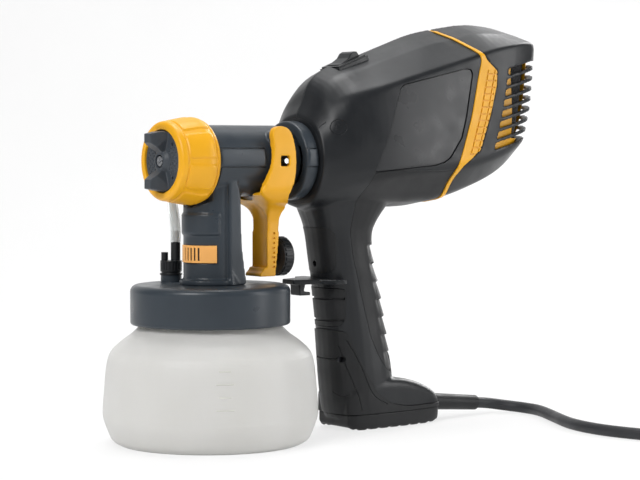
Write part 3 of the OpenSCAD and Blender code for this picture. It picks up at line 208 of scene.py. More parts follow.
def turned(name, outline, steps=96, at=(0, 0, AXIS_Z), along="x"):
    """A solid of revolution from a closed outline of [along, radius], spun round a line through a point."""
    deselect()
    n = len(outline)
    bpy.ops.mesh.primitive_circle_add(vertices=n, fill_type="NOTHING", radius=0.01)
    piece = bpy.context.object
    piece.name = name
    c = Vector(at)
    a = Vector({"x": (1, 0, 0), "y": (0, 1, 0), "z": (0, 0, 1)}[along])
    b = Vector((0, 0, 1) if along == "x" else (1, 0, 0))
    bpy.ops.object.mode_set(mode="EDIT")
    bm = bmesh.from_edit_mesh(piece.data)
    bm.verts.ensure_lookup_table()
    for v, p in zip(bm.verts, outline):
        v.co = (c + a * p[0] + b * p[1]) * MM
    bmesh.update_edit_mesh(piece.data)
    bpy.ops.mesh.select_all(action="SELECT")
    bpy.ops.mesh.spin(steps=steps, angle=2 * math.pi, center=c * MM, axis=a)
    bpy.ops.mesh.select_all(action="SELECT")
    bpy.ops.mesh.remove_doubles(threshold=2e-6)
    bpy.ops.mesh.dissolve_degenerate(threshold=1e-6)
    bpy.ops.mesh.select_all(action="SELECT")
    bpy.ops.mesh.normals_make_consistent(inside=False)
    bpy.ops.object.mode_set(mode="OBJECT")
    return piece


def ball(name, at, r, rings=8):
    """A small round cutter."""
    angles = [math.pi * k / rings for k in range(rings + 1)]
    return turned(name, [(-r * math.cos(a), r * math.sin(a)) for a in angles], 12, at)


def moved(piece, matrix):
    """Moves the mesh itself, so that the object stays at the origin."""
    piece.data.transform(matrix)
    return piece


def about(point, angle, axis):
    """A turn of so many degrees about a line through a point in millimetres."""
    p = Vector(point) * MM
    return Matrix.Translation(p) @ Matrix.Rotation(math.radians(angle), 4, axis) @ Matrix.Translation(-p)


def smooth_shaded(piece, angle=35):
    """Smooth shading, but for edges sharper than so many degrees."""
    pick(piece)
    bpy.ops.object.shade_smooth_by_angle(angle=math.radians(angle))
    return piece


def tube(name, points, radius, sides=5):
    """A round bar or hose along points in millimetres, as one smooth open line."""
    data = bpy.data.curves.new(name, "CURVE")
    data.dimensions = "3D"
    data.bevel_depth = radius * MM
    data.bevel_resolution = sides
    data.use_fill_caps = True
    line = data.splines.new("POLY")
    line.points.add(len(points) - 1)
    for p, q in zip(line.points, points):
        p.co = (q[0] * MM, q[1] * MM, q[2] * MM, 1)
    line.use_smooth = True
    piece = bpy.data.objects.new(name, data)
    scene.collection.objects.link(piece)
    return piece


def as_mesh(piece):
    """A curve made a closed mesh."""
    pick(piece)
    bpy.ops.object.convert(target="MESH")
    piece = bpy.context.object
    bpy.ops.object.mode_set(mode="EDIT")
    bpy.ops.mesh.select_all(action="SELECT")
    bpy.ops.mesh.remove_doubles(threshold=1e-6)
    bpy.ops.mesh.normals_make_consistent(inside=False)
    bpy.ops.object.mode_set(mode="OBJECT")
    return piece


def on_surface(piece, points):
    """Points in millimetres brought onto the nearest place of a piece."""
    return [tuple(piece.closest_point_on_mesh(Vector(q) * MM)[1] / MM) for q in points]


def groove(piece, points, radius, sides=2):
    """Cuts a fine line into a piece along points."""
    return cut(piece, as_mesh(tube("line", points, radius, sides)))


def smoothed_where(piece, test, rounds):
    """Smooths the points of a piece that pass a test."""
    group = piece.vertex_groups.new(name="soft")
    group.add([v.index for v in piece.data.vertices if test(v.co / MM)], 1.0, "REPLACE")
    apply_modifier(piece, "SMOOTH", factor=0.5, iterations=rounds, vertex_group="soft")
    piece.vertex_groups.remove(piece.vertex_groups["soft"])
    return piece


# ---------- finishes ----------
def linear(*srgb):
    """A colour given as screen values from 0 to 255."""
    return tuple((c / 255 / 12.92) if c <= 10 else ((c / 255 + 0.055) / 1.055) ** 2.4
                 for c in srgb) + (1.0,)


class Finish:
    """One material, with its nodes laid out as they are asked for."""

    def __init__(self, name):
        self.material = bpy.data.materials.new(name)
        self.material.use_nodes = True
        self.tree = self.material.node_tree
        self.shader = self.tree.nodes["Principled BSDF"]
        self.where = self.node("ShaderNodeTexCoord").outputs["Object"]

    def node(self, kind, **values):
        made = self.tree.nodes.new(kind)
        for key, value in values.items():
            setattr(made, key, value)
        return made

    def link(self, start, end):
        self.tree.links.new(start, end)

    def noise(self, per_metre, detail=2.0, stretch=None):
        n = self.node("ShaderNodeTexNoise")
        n.inputs["Scale"].default_value = per_metre
        n.inputs["Detail"].default_value = detail
        where = self.where
        if stretch:
            m = self.node("ShaderNodeMapping")
            m.inputs["Scale"].default_value = stretch
            self.link(where, m.inputs["Vector"])
            where = m.outputs["Vector"]
        self.link(where, n.inputs["Vector"])
        return n.outputs["Fac"]

    def ranged(self, value, a, b, low=0.3, high=0.7):
        r = self.node("ShaderNodeMapRange")
        r.inputs["From Min"].default_value = low
        r.inputs["From Max"].default_value = high
        r.inputs["To Min"].default_value = a
        r.inputs["To Max"].default_value = b
        self.link(value, r.inputs["Value"])
        return r.outputs["Result"]

    def blend(self, factor, a, b):
        m = self.node("ShaderNodeMix", data_type="RGBA")
        self.link(factor, m.inputs[0])
        for value, socket in ((a, m.inputs[6]), (b, m.inputs[7])):
            if isinstance(value, tuple):
                socket.default_value = value
            else:
                self.link(value, socket)
        return m.outputs[2]

    def edge(self, radius, sharp=0.6):
        """1 where an edge is worn, 0 on flats, and the rounded normal."""
        b = self.node("ShaderNodeBevel", samples=6)
        b.inputs["Radius"].default_value = radius * MM
        g = self.node("ShaderNodeNewGeometry")
        d = self.node("ShaderNodeVectorMath", operation="DOT_PRODUCT")
        self.link(b.outputs["Normal"], d.inputs[0])
        self.link(g.outputs["Normal"], d.inputs[1])
        return self.ranged(d.outputs["Value"], 1.0, 0.0, sharp, 0.98), b.outputs["Normal"]

    def bumped(self, height, depth, strength, normal=None):
        n = self.node("ShaderNodeBump")
        n.inputs["Strength"].default_value = strength
        n.inputs["Distance"].default_value = depth * MM
        self.link(height, n.inputs["Height"])
        if normal is not None:
            self.link(normal, n.inputs["Normal"])
        self.link(n.outputs["Normal"], self.shader.inputs["Normal"])

    def set(self, **values):
        for key, value in values.items():
            self.shader.inputs[key.replace("_", " ")].default_value = value
        return self


def plastic(name, colour, rough=0.45, grain=0.15, grain_size=0.5, depth=0.06, spread=0.1, wear=0.35,
            edge=0.35, **values):
    """Moulded plastic: cloudy colour, spark-eroded grain, rounded edges that are worn a little lighter."""
    f = Finish(name)
    base = linear(*colour)
    light = tuple(min(1, c * (1 + spread)) for c in base[:3]) + (1.0,)
    dark = tuple(c * (1 - spread) for c in base[:3]) + (1.0,)
    cloud = f.ranged(f.noise(38, 4), 0, 1)
    shade = f.blend(cloud, dark, light)
    worn, normal = f.edge(edge)
    rub = f.node("ShaderNodeMath", operation="MULTIPLY")
    f.link(worn, rub.inputs[0])
    f.link(f.ranged(f.noise(160, 5), 0, wear, 0.4, 0.6), rub.inputs[1])
    pale = tuple(min(1, c * 1.5 + 0.035) for c in base[:3]) + (1.0,)
    f.link(f.blend(rub.outputs[0], shade, pale), f.shader.inputs["Base Color"])
    f.link(f.ranged(f.noise(90, 6), rough - 0.06, rough + 0.08), f.shader.inputs["Roughness"])
    f.bumped(f.noise(1000 / grain_size, 1), depth, grain, normal)
    return f.set(Specular_IOR_Level=0.35).set(**values).material


def metal(name, colour, rough=0.25, brush=(1, 1, 1)):
    """Turned or drawn metal with fine marks along one way."""
    f = Finish(name)
    base = linear(*colour)
    dark = tuple(c * 0.8 for c in base[:3]) + (1.0,)
    f.link(f.blend(f.ranged(f.noise(120, 4), 0, 1), dark, base), f.shader.inputs["Base Color"])
    marks = f.noise(900, 2, brush)
    f.link(f.ranged(marks, rough - 0.08, rough + 0.12), f.shader.inputs["Roughness"])
    worn, normal = f.edge(0.25)
    f.bumped(marks, 0.03, 0.2, normal)
    return f.set(Metallic=1.0).material


finishes = {
    "slate_plastic": plastic("slate_plastic", (50, 57, 64), 0.33, 0.12),
    "black_plastic": plastic("black_plastic", (28, 30, 33), 0.36, 0.18),
    "yellow_plastic": plastic("yellow_plastic", (232, 168, 26), 0.36, 0.08, 0.7, spread=0.05, wear=0.25),
    "soft_grip": plastic("soft_grip", (25, 26, 28), 0.46, 0.3, 0.35, 0.1, wear=0.2),
    "orange_insert": plastic("orange_insert", (244, 178, 98), 0.4, 0.08, spread=0.05, wear=0.2),
    "inner_plastic": plastic("inner_plastic", (78, 80, 84), 0.5, 0.2),
    "seal_rubber": plastic("seal_rubber", (60, 52, 48), 0.7, 0.25, wear=0.1),
    "cord_rubber": plastic("cord_rubber", (46, 47, 50), 0.5, 0.25, 0.4, 0.1, wear=0.1, edge=0.1),
    "natural_plastic": plastic("natural_plastic", (222, 222, 214), 0.42, 0.08, spread=0.03, wear=0.1),
    "steel": metal("steel", (196, 198, 202), 0.24, (0.1, 1, 1)),
    "brass": metal("brass", (206, 172, 100), 0.28, (0.1, 1, 1)),
    "aluminium": metal("aluminium", (205, 207, 212), 0.35, (1, 0.2, 0.2)),
}


def winding_finish():
    """Lacquered copper wire, lying along the motor; the copper is the wire's own colour, and the grooves
    between the turns are darkened as painted shade.
    """
    f = Finish("winding")
    w = f.node("ShaderNodeTexWave", wave_type="RINGS", rings_direction="X")
    w.inputs["Scale"].default_value = 700
    m = f.node("ShaderNodeMapping")
    m.inputs["Location"].default_value = (0, 0, -(AXIS_Z + 34) * MM)
    f.link(f.where, m.inputs["Vector"])
    f.link(m.outputs["Vector"], w.inputs["Vector"])
    # the low grooves of the wave get the dark copper: painted shade between the turns, the crests keep the
    # wire's copper
    f.link(f.blend(w.outputs["Fac"], linear(96, 48, 22), linear(190, 106, 52)),
           f.shader.inputs["Base Color"])
    f.bumped(w.outputs["Fac"], 0.3, 0.6)
    return f.set(Metallic=0.6, Roughness=0.35).material


def foam_finish():
    """Open filter foam, all small cells, the hollows of the cells darkened as painted shade."""
    f = Finish("foam")
    cells = f.node("ShaderNodeTexVoronoi")
    cells.inputs["Scale"].default_value = 700
    f.link(f.where, cells.inputs["Vector"])
    # darkest in the middle of each cell, where the bump is lowest: painted shade in the foam's hollows over
    # its own dark grey
    deep = f.ranged(cells.outputs["Distance"], 0, 1, 0.0, 0.6)
    f.link(f.blend(deep, linear(14, 14, 15), linear(58, 58, 60)), f.shader.inputs["Base Color"])
    f.bumped(cells.outputs["Distance"], 0.8, 1.0)
    return f.set(Roughness=0.95).material


def cup_finish():
    """Milky polyethylene that lets light through, with faint flow marks."""
    f = Finish("cup_plastic")
    flow = f.ranged(f.noise(30, 3, (1, 1, 0.4)), 0, 1)
    f.link(f.blend(flow, linear(234, 233, 229), linear(240, 239, 236)),
           f.shader.inputs["Base Color"])
    f.link(f.ranged(f.noise(60, 4), 0.34, 0.46), f.shader.inputs["Roughness"])
    f.bumped(f.noise(900, 1), 0.05, 0.1)
    f.set(Transmission_Weight=0.3, IOR=1.3, Subsurface_Weight=0.5, Subsurface_Scale=0.005)
    return f.set(Subsurface_Radius=(1, 1, 1)).material


def hose_finish():
    """Clear hose, a little milky."""
    f = Finish("clear_tube")
    flow = f.ranged(f.noise(200, 2, (1, 1, 0.1)), 0, 1)
    f.link(f.blend(flow, linear(236, 240, 240), linear(248, 250, 250)),
           f.shader.inputs["Base Color"])
    f.link(f.ranged(f.noise(120, 3), 0.03, 0.07), f.shader.inputs["Roughness"])
    return f.set(Transmission_Weight=0.6, IOR=1.3).material


finishes["winding"] = winding_finish()
finishes["foam"] = foam_finish()
finishes["cup_plastic"] = cup_finish()
finishes["clear_tube"] = hose_finish()
finishes["cap_plastic"] = plastic("cap_plastic", (60, 65, 71), 0.42, 0.15)
finishes["panel_plastic"] = plastic("panel_plastic", (46, 47, 49), 0.3, 0.1, 0.4, spread=0.04, wear=0.0)
finishes["dark_screw"] = metal("dark_screw", (44, 45, 48), 0.4, (1, 0.1, 1))
# painted shade for the slot floors of the label inlay
finishes["slot_shade"] = plastic("slot_shade", (34, 30, 28), 0.6, 0.1)

for node in nodes.values():
    slot = node.material_slots[0].material.name.split(".")[0]
    node.material_slots[0].material = finishes[slot]


def finished(piece, body, slot, *replaced, finish=None, angle=35):
    """Gives a piece its finish and its body, and hides the nodes it stands for."""
    if piece.type == "MESH":
        smooth_shaded(piece, angle)
        piece.data.name = piece.name
    piece.data.materials.clear()
    piece.data.materials.append(finishes[finish or slot])
    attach(piece, body)
    if replaced:
        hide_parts(*replaced)
    return piece


# ---------- curves ----------
def between(a, b, c, d, t):
    """A row of values between rows b and c, on the curve through all four."""
    return [0.5 * (2 * q + (r - p) * t + (2 * p - 5 * q + 4 * r - s) * t * t
                   + (3 * q - p - 3 * r + s) * t ** 3)
            for p, q, r, s in zip(a, b, c, d)]


def smooth(rows, n):
    """A smooth curve through rows of values, n steps from each to the next."""
    out = []
    for i in range(len(rows) - 1):
        for k in range(n):
            after = rows[min(i + 2, len(rows) - 1)]
            out.append(between(rows[max(i - 1, 0)], rows[i], rows[i + 1], after, k / n))
    return out + [list(rows[-1])]


def arc(c, r, a0, a1, n):
    """Points round a centre from one angle to another."""
    return [(c[0] + r * math.cos(math.radians(a0 + (a1 - a0) * k / n)),
             c[1] + r * math.sin(math.radians(a0 + (a1 - a0) * k / n))) for k in range(n + 1)]


def rounded(corners, r, steps=4):
    """An outline with its corners rounded off by a distance r along each side."""
    out = []
    n = len(corners)
    for i, b in enumerate(corners):
        a, c = Vector(corners[i - 1]), Vector(corners[(i + 1) % n])
        b = Vector(b)
        p = b + (a - b).normalized() * min(r, (a - b).length / 2.2)
        q = b + (c - b).normalized() * min(r, (c - b).length / 2.2)
        for k in range(steps + 1):
            t = k / steps
            out.append(tuple((1 - t) ** 2 * p + 2 * t * (1 - t) * b + t * t * q))
    return out


def oval(a, b, power, n):
    """An oval that is squarer the higher its power."""
    out = []
    for k in range(n):
        c, s = math.cos(2 * math.pi * k / n), math.sin(2 * math.pi * k / n)
        out.append((a * math.copysign(abs(c) ** (2 / power), c),
                    b * math.copysign(abs(s) ** (2 / power), s)))
    return out


# ---------- cord ----------
CORD_R = 3.6
CORD_ROUTE = [
    (208.8, 0, 7.5), (216, 0, 6.8), (222, -1, 6), (228, -4, 5), (233, -9, 4.2), (236, -15, 3.8),
    (237, -22, 3.6), (236.5, -29, 3.6), (234, -37, 3.6), (230, -46, 3.6), (225, -56, 3.6),
    (219, -68, 3.6), (213, -80, 3.6), (208, -92, 3.6), (205, -104, 3.6), (203.5, -117, 3.6),
    (204, -130, 3.6), (206.5, -143, 3.6), (210, -156, 3.6), (213.5, -168, 3.6), (216.5, -178, 3.6),
    (217.6, -184, 3.6), (217.6, -186.8, 3.6),
]
COIL_AT = (272, -196)
COIL_PITCH = 7.8
COIL_TURNS = 3
COIL_IN_R = 31
COIL_OUT_R = COIL_IN_R + COIL_PITCH * COIL_TURNS
COIL_STEPS = 24


def coil_point(k):
    """The cord winds inwards on the floor, climbs, and winds outwards on top."""
    t = k / COIL_STEPS
    back = max(t - COIL_TURNS, 0)
    climb = min(max((t - COIL_TURNS + 0.25) * 2, 0), 1)
    r = COIL_OUT_R - COIL_PITCH * (t - 2 * back)
    a = 2 * math.pi * t + math.pi
    return (COIL_AT[0] + r * math.cos(a), COIL_AT[1] + r * math.sin(a), CORD_R + COIL_PITCH * climb)


coil = [coil_point(k) for k in range(2 * COIL_TURNS * COIL_STEPS + 1)]
coil_start = (217.6, -188.8, 3.6)
cord_end = (COIL_AT[0] - COIL_OUT_R, COIL_AT[1] - 2 * CORD_R, CORD_R + COIL_PITCH)
cord_points = smooth(CORD_ROUTE, 2) + [coil_start] + coil + [cord_end]
power_lead = finished(tube("power_lead", cord_points, CORD_R), "turbine_unit", "cord_rubber",
                      "power_cord", "cord_coil")

# ---------- housing forms ----------
# Each row of the housing: x at the top and at the bottom, then the half section from the top
# down (the height of the middle, five corners as half width and height, the lowest point) and
# how far along its sides each corner is rounded. Heights are above the axis.
N = NECK_R
COARSE_ROWS = [
    [HOUSING_X, HOUSING_X, N, N * 0.52, N * 0.9, N * 0.9, N * 0.52, N * 1.03, 0, N * 0.9, -N * 0.52,
     N * 0.52, -N * 0.9, -N, 0.5],
    [67, 67, 35, 15, 31.5, 26.5, 20, 30.3, 2, 26.8, -15, 15.5, -26.8, -30, 0.5],
    [72.5, 74, 47.4, 15.5, 41.8, 28.8, 29, 32.6, 6, 30.5, -14, 17, -27.5, -31, 0.42],
    [84, 87, 56.4, 16, 51.4, 33, 38, BODY_W - 5.5, 12, 35.5, -11, 19.5, -27, -30.5, 0.32],
    [104, 104, 63.2, 16.5, 57.4, 36, 44.5, BODY_W - 2, 16, 39.2, -9, 21.5, -26, -30, 0.26],
    [129, 127, 72.2, 17, 65.4, 37.5, 51.8, BODY_W - 0.4, 20, 41, -6.5, 23, -25.5, -29.5, 0.22],
    [153, 146, 80.3, 18, 72.5, 38.5, 58.2, BODY_W, 24, 41.5, -5, 24.5, -25, -29, 0.2],
    [181, 158, 85.6, 18.5, 78.2, 39, 65.6, BODY_W + 0.2, 28, 42, -3, 26, -23, -27, 0.2],
    [198, 176, 87.6, 19, 81.2, 38.8, 70.4, BODY_W, 30, 41.8, -0.5, 26.5, -18, -22, 0.2],
    [216, 200, 87, 19, 81.4, 38, 74, BODY_W - 0.8, 33, 40.6, 6, 25, -9.5, -13.5, 0.2],
    [230, 216, 84.6, 18, 80, 34.6, 75, BODY_W - 4.5, 36, 35.6, 13, 22, -0.5, -3.5, 0.24],
    [236.5, 225, 81, 13, 77.6, 25, 73, BODY_W - 16, 38, 25, 17, 17, 8, 6, 0.3],
]
# How much of that rounding each corner keeps behind the nose, from the top plate's edge down
CRISP = {1: 0.25, 2: 0.5, 3: 0.8, 4: 0.7, 5: 0.9}
NOSE_X = 68
NOSE_BLEND = 40
MOST_ROUND = 0.46


def half_section(r, inset):
    """One row's half section, from the top middle down to the lowest point."""
    q = [(0, r[2]), (r[3], r[4]), (r[5], r[6]), (r[7], r[8]), (r[9], r[10]), (r[11], r[12]), (0, r[13])]
    m = Vector((0, (r[2] + r[13]) / 2))
    out = [Vector(q[0])]
    for k in range(1, 6):
        a, b, c = Vector(q[k - 1]), Vector(q[k]), Vector(q[k + 1])
        f = min(r[14], MOST_ROUND)
        f *= 1 + (CRISP[k] - 1) * min(1, max(0, (r[0] - NOSE_X) / NOSE_BLEND))
        p, s = b + (a - b) * f, b + (c - b) * f
        # two points on the flat before the corner, then the corner's curve
        for share in (0.33, 0.5):
            out.append(out[-1].lerp(p, share))
        for t in (0, 0.17, 0.33, 0.5, 0.67, 0.83, 1):
            out.append((1 - t) ** 2 * p + 2 * t * (1 - t) * b + t * t * s)
    out.append(out[-1].lerp(Vector(q[6]), 0.5))
    out.append(Vector(q[6]))
    done = []
    for p in out:
        if p.x < 0.01:
            done.append((0, p.y - math.copysign(inset, p.y - m.y)))
        else:
            d = p - inset * (p - m).normalized()
            done.append((d.x, d.y))
    return done


def body_ring(r, inset, dx=0):
    """A whole ring of the housing, leaning as its row says."""
    h = half_section(r, inset)
    s = (r[0] - r[1]) / (r[2] - r[13])
    whole = h + [(-p[0], p[1]) for p in h[-2:0:-1]]
    return [(r[1] + s * (p[1] - r[13]) - dx, p[0], p[1] + AXIS_Z) for p in whole]


def body_form(name, inset, fine=4):
    """The turbine housing's outer form, drawn in by so much."""
    rows = smooth(COARSE_ROWS, fine)
    last = len(rows) - 1
    rings = []
    for k, r in enumerate(rows):
        near_end = max(0, min(1, (k - last + 2 * fine) / fine))
        rings.append(body_ring(r, inset, inset * near_end if inset > 1 else 0))
    return loft(name, rings)


HANDLE_POWER = 2.5
# Rows of the handle: height, middle, half length and half width
HANDLE_ROWS = [
    [AXIS_Z - 12, 100, 32, HANDLE_W + 6], [AXIS_Z - 25, 98.5, 30.5, HANDLE_W + 4.5],
    [AXIS_Z - 36, 96.5, 24, HANDLE_W + 2], [AXIS_Z - 45, 95.7, 20.4, HANDLE_W + 0.4],
    [110, 97, 19.8, HANDLE_W], [98, 99.2, 20.1, HANDLE_W], [85, 102, 21.2, HANDLE_W],
    [65, 105.2, 21.8, HANDLE_W + 0.5], [50, 107.2, 22.4, HANDLE_W + 0.8], [30, 109.6, 23, HANDLE_W + 1.2],
    [14, 112, 23.2, HANDLE_W + 1.2], [FOOT_H - 3, 114, 23.4, HANDLE_W + 1],
]
# Rows of its base: x, top, bottom and half width
BASE_ROWS = [
    [92, 24, 3, HANDLE_W - 3], [97, 28, 0, HANDLE_W - 0.5], [112, 31, 0, HANDLE_W + 1.2],
    [132, 30.5, 0, HANDLE_W + 1], [146, 27.5, 0, HANDLE_W], [158, 23, 0, HANDLE_W - 2],
    [165, 19, 0.6, HANDLE_W - 4.5], [168.8, 15, 3, HANDLE_W - 8],
]


def grip_form(name, inset):
    """The handle and its base, drawn in by so much."""
    post = loft(name, [[(r[1] + p[0], p[1], r[0])
                        for p in oval(r[2] - inset, r[3] - inset, HANDLE_POWER, 32)]
                       for r in smooth(HANDLE_ROWS, 3)])
    rings = []
    rows = smooth(BASE_ROWS, 3)
    for k, r in enumerate(rows):
        dx = inset if k == 0 else -inset if k == len(rows) - 1 else 0
        line = (arc((r[3] - inset - 5, r[1] - inset - 5), 5, 0, 90, 5)
                + arc((-r[3] + inset + 5, r[1] - inset - 5), 5, 90, 180, 5)
                + arc((-r[3] + inset + 2, r[2] + 2), 2, 180, 270, 3)
                + arc((r[3] - inset - 2, r[2] + 2), 2, 270, 360, 3))
        rings.append([(r[0] + dx, p[0], p[1]) for p in line])
    return cut(post, loft("base", rings), how="UNION")


BAND_LINE = [
    (157.5, -45), (156.5, -22), (156.2, -10), (163.2, 11.4), (175.2, 51.2), (178.6, 66), (169, 81), (158, 98),
]
band_curve = smooth(BAND_LINE, 4)


def behind_band(name, x0, x1):
    """What lies between x0 and x1 behind the joint of the housing and the band."""
    line = [(p[0] + x0, p[1] + AXIS_Z) for p in band_curve]
    back = [(p[0] + x1, p[1] + AXIS_Z) for p in reversed(band_curve)]
    return side_plate(name, line + back, -60, 60)


CHEEK = [
    (150, -10.5), (158.9, -10.1), (162, -3.7), (175.7, 6.6), (185, 33), (189.9, 46.8), (191.3, 56.4),
    (182.9, 63.4), (181.5, 67.5), (150, 67.5),
]


def cheek_blocks(name, grow):
    """Blocks over both cheeks of the band, grown by so much."""
    line = [(p[0] + (grow if p[0] > 150 else 0), AXIS_Z + p[1] + (grow if p[1] > 30 else -grow))
            for p in CHEEK]
    line = rounded(line, 1.5, 3)
    return join(side_plate(name, line, 27, 63), side_plate(name, line, -63, -27))


PANEL = [
    (95, -7), (139, -3.5), (147, -1.5), (152, 1.5), (161, 14), (171.5, 54), (170.5, 57), (166, 57.4),
    (118.4, 46.8), (115, 44.4),
]


def panel_blocks(name, inset):
    """Blocks over both side covers, drawn in by so much."""
    mid = Vector((135, 25))
    line = []
    for p in PANEL:
        q = Vector(p) - inset * (Vector(p) - mid).normalized()
        line.append((q.x, q.y + AXIS_Z))
    line = rounded(line, 1.2, 3)
    return join(side_plate(name, line, 18, 62), side_plate(name, line, -62, -18))


REAR_OUTLINE = rounded([
    (95.3, AXIS_Z - 7.4), (92.2, AXIS_Z - 24), (91, AXIS_Z - 43), (93.5, 108), (98, 92), (106.5, 59),
    (113, 46), (120, 37.5), (128, 33.2), (180, 33.2), (180, AXIS_Z - 4), (157, AXIS_Z - 2.7),
    (139, AXIS_Z - 3.8),
], 2.5)
FINGER_OUTLINE = rounded([
    (50, 64.8), (87, 64.8), (89.5, 69), (89.5, 87), (86, 88.5), (70, 88.5), (70, 97.5), (80, 97.8),
    (83.5, 101), (83, 112), (82, 122), (78, 126), (50, 126),
], 2)
FINGER_BAND = rounded([(50, 64.8), (87, 64.8), (89.5, 69), (89.5, 87), (86, 88.5), (50, 88.5)], 2)
COVER_OUTLINE = rounded([
    (60, FOOT_H), (60, 64), (80, 63.6), (91, 61), (100, 41), (112, 22.5), (122, 15.5), (136, 12.6),
    (180, 12.2), (180, FOOT_H),
], 3)
GRILLE = [(188, 5), (203, 60.5), (226, 64), (245, 64), (245, 16), (216, 11), (200, 6)]

outer = body_form("outer", 0)
inner = body_form("inner", WALL, 2)
grip_outer = grip_form("grip_outer", 0)
grip_core = grip_form("grip_core", SKIN)

# The whole handle unit as one soft form, from which its pieces are cut
unit = twin(outer, "unit")
cut(unit, grip_outer, how="UNION", keep=True)
softened(unit, 0.85, 3)

# ---------- grips, front cover and foot ----------
SEAM = 0.3


def grip_piece(name, outline, proud=0.0):
    """A grip cut from the handle's skin, standing a little proud of it."""
    piece = twin(unit, name)
    if proud:
        apply_modifier(piece, "DISPLACE", strength=proud * MM, mid_level=0)
    cut(piece, side_plate("tool", outline, -40, 40), how="INTERSECT")
    cut(piece, grip_core, keep=True)
    cut(piece, body_in, keep=True)
    return piece


body_in = body_form("body_in", 0.6)
rear_pad = grip_piece("rear_pad", REAR_OUTLINE)
cut(rear_pad, behind_band("tool", -0.2, 200))
finger_pad = grip_piece("finger_pad", FINGER_OUTLINE, 0.25)
toe_cover = grip_piece("toe_cover", COVER_OUTLINE, 0.8)

# steps down the back and ribs on the front
STEP = 11.2
STEP_DEPTH = 1.5
STEPS_FROM, STEPS_TO = 114.5, 36
steps = rear_pad.vertex_groups.new(name="steps")
for v in rear_pad.data.vertices:
    at = v.co / MM
    if STEPS_TO < at.z < STEPS_FROM:
        down = STEPS_FROM - at.z
        mid = 96.4 + down * 0.19
        skin = ((abs(at.x - mid) / (19.8 + down * 0.03)) ** HANDLE_POWER
                + (abs(at.y) / HANDLE_W) ** HANDLE_POWER)
        reach = min(1, max(0, (at.x - mid - 8) / 4))
        if skin > 0.9 and reach > 0:
            steps.add([v.index], reach * (1 - (down % STEP) / STEP), "REPLACE")
apply_modifier(rear_pad, "DISPLACE", strength=-STEP_DEPTH * MM, mid_level=0, vertex_group="steps")
rear_pad.vertex_groups.clear()
FINGER_RIBS = (82.0, 68.6)
ribs = join(*[block("rib", (60, 89), (-40, 40), (z - 0.8, z + 0.8)) for z in FINGER_RIBS])
cut(ribs, grip_form("rib_core", 0.9))
cut(finger_pad, ribs)
cut(finger_pad, turned("tool", [(70, 0), (70, 1.9), (90, 1.9), (90, 0)], 24, (0, 1, 103.5)))
ribs = block("rib", (60, 88.5), (-40, 40), (44.3, 45.3))
cut(ribs, grip_form("rib_core", 0.2))
cut(toe_cover, ribs)
COVER_LINES = [
    [(87.6, -11.6, 53), (89.4, -13, 46), (92.4, -15.1, 35.9), (97.5, -17.6, 21.9), (100, -18, 12.6)],
    [(90.4, -15.4, 56.5), (98.6, -19.4, 40.6), (107.6, -20, 22.4), (119, -20, 15.2)],
    [(86, -6, 24), (89, -12, 21.5), (93, -15.5, 22.5)],
]
for line in COVER_LINES:
    for side in (1, -1):
        row = [(p[0], p[1] * side, p[2]) for p in smooth(line, 4)]
        groove(toe_cover, on_surface(toe_cover, row), 0.42, 1)
COVER_SCREW = (88.5, 0, 44.5)
cut(toe_cover, turned("tool", [(-50, 0), (-50, 1.8), (-10.7, 1.8), (-10.7, 0)], 32, COVER_SCREW, "y"))

# a hair-wide seam round each of them in the housing
for outline, gap in ((REAR_OUTLINE, SEAM), (FINGER_OUTLINE, 0), (FINGER_BAND, SEAM),
                     (COVER_OUTLINE, SEAM)):
    tool = side_plate("tool", outline, -40, 40)
    if gap:
        apply_modifier(tool, "DISPLACE", strength=gap * MM, mid_level=0)
    cut(tool, grip_core, keep=True)
    cut(tool, body_in, keep=True)
    cut(unit, tool)

drop(body_in)

# the foot below the housing
foot = twin(grip_outer, "base_boot")
cut(foot, block("tool", (50, 180), (-40, 40), (-5, FOOT_H - 0.15)), how="INTERSECT")
TREADS = 9
TREAD_PITCH = 8.4
cut(foot, join(*[block("tool", (96 + TREAD_PITCH * k, 99.4 + TREAD_PITCH * k), (-40, 40), (-2, 0.9))
                 for k in range(TREADS)]))
cut(foot, block("tool", (85, 172), (-14, 14), (-2, 1.6)))
softened(foot, 0.6, 4)
cut(unit, block("tool", (50, 180), (-40, 40), (-5, FOOT_H)))

# ---------- housing ----------
cut(unit, behind_band("tool", 0, 200))
recess = panel_blocks("recess", 0)
PANEL_FLOOR = 1.9
PANEL_FACE = 0.7
PANEL_GAP = 0.6
floor_form = body_form("panel_floor", PANEL_FLOOR)
cut(recess, floor_form, keep=True)
cut(unit, recess)
cut(unit, inner, keep=True)

# side panels lie in the recess
panels = twin(outer, "side_panels")
face_form = body_form("panel_face", PANEL_FACE)
cut(panels, face_form, how="INTERSECT")
cut(panels, floor_form)
cut(panels, panel_blocks("tool", PANEL_GAP), how="INTERSECT")
side_cover_left = twin(panels, "side_cover_left")
cut(side_cover_left, block("tool", (50, 250), (-60, -1), (100, 280)), how="INTERSECT")
cut(panels, block("tool", (50, 250), (1, 60), (100, 280)), how="INTERSECT")
side_cover_right = panels
side_cover_right.name = "side_cover_right"
finished(side_cover_left, "turbine_unit", "black_plastic", "side_panel_left", finish="panel_plastic")
finished(side_cover_right, "turbine_unit", "black_plastic", "side_panel_right", finish="panel_plastic")

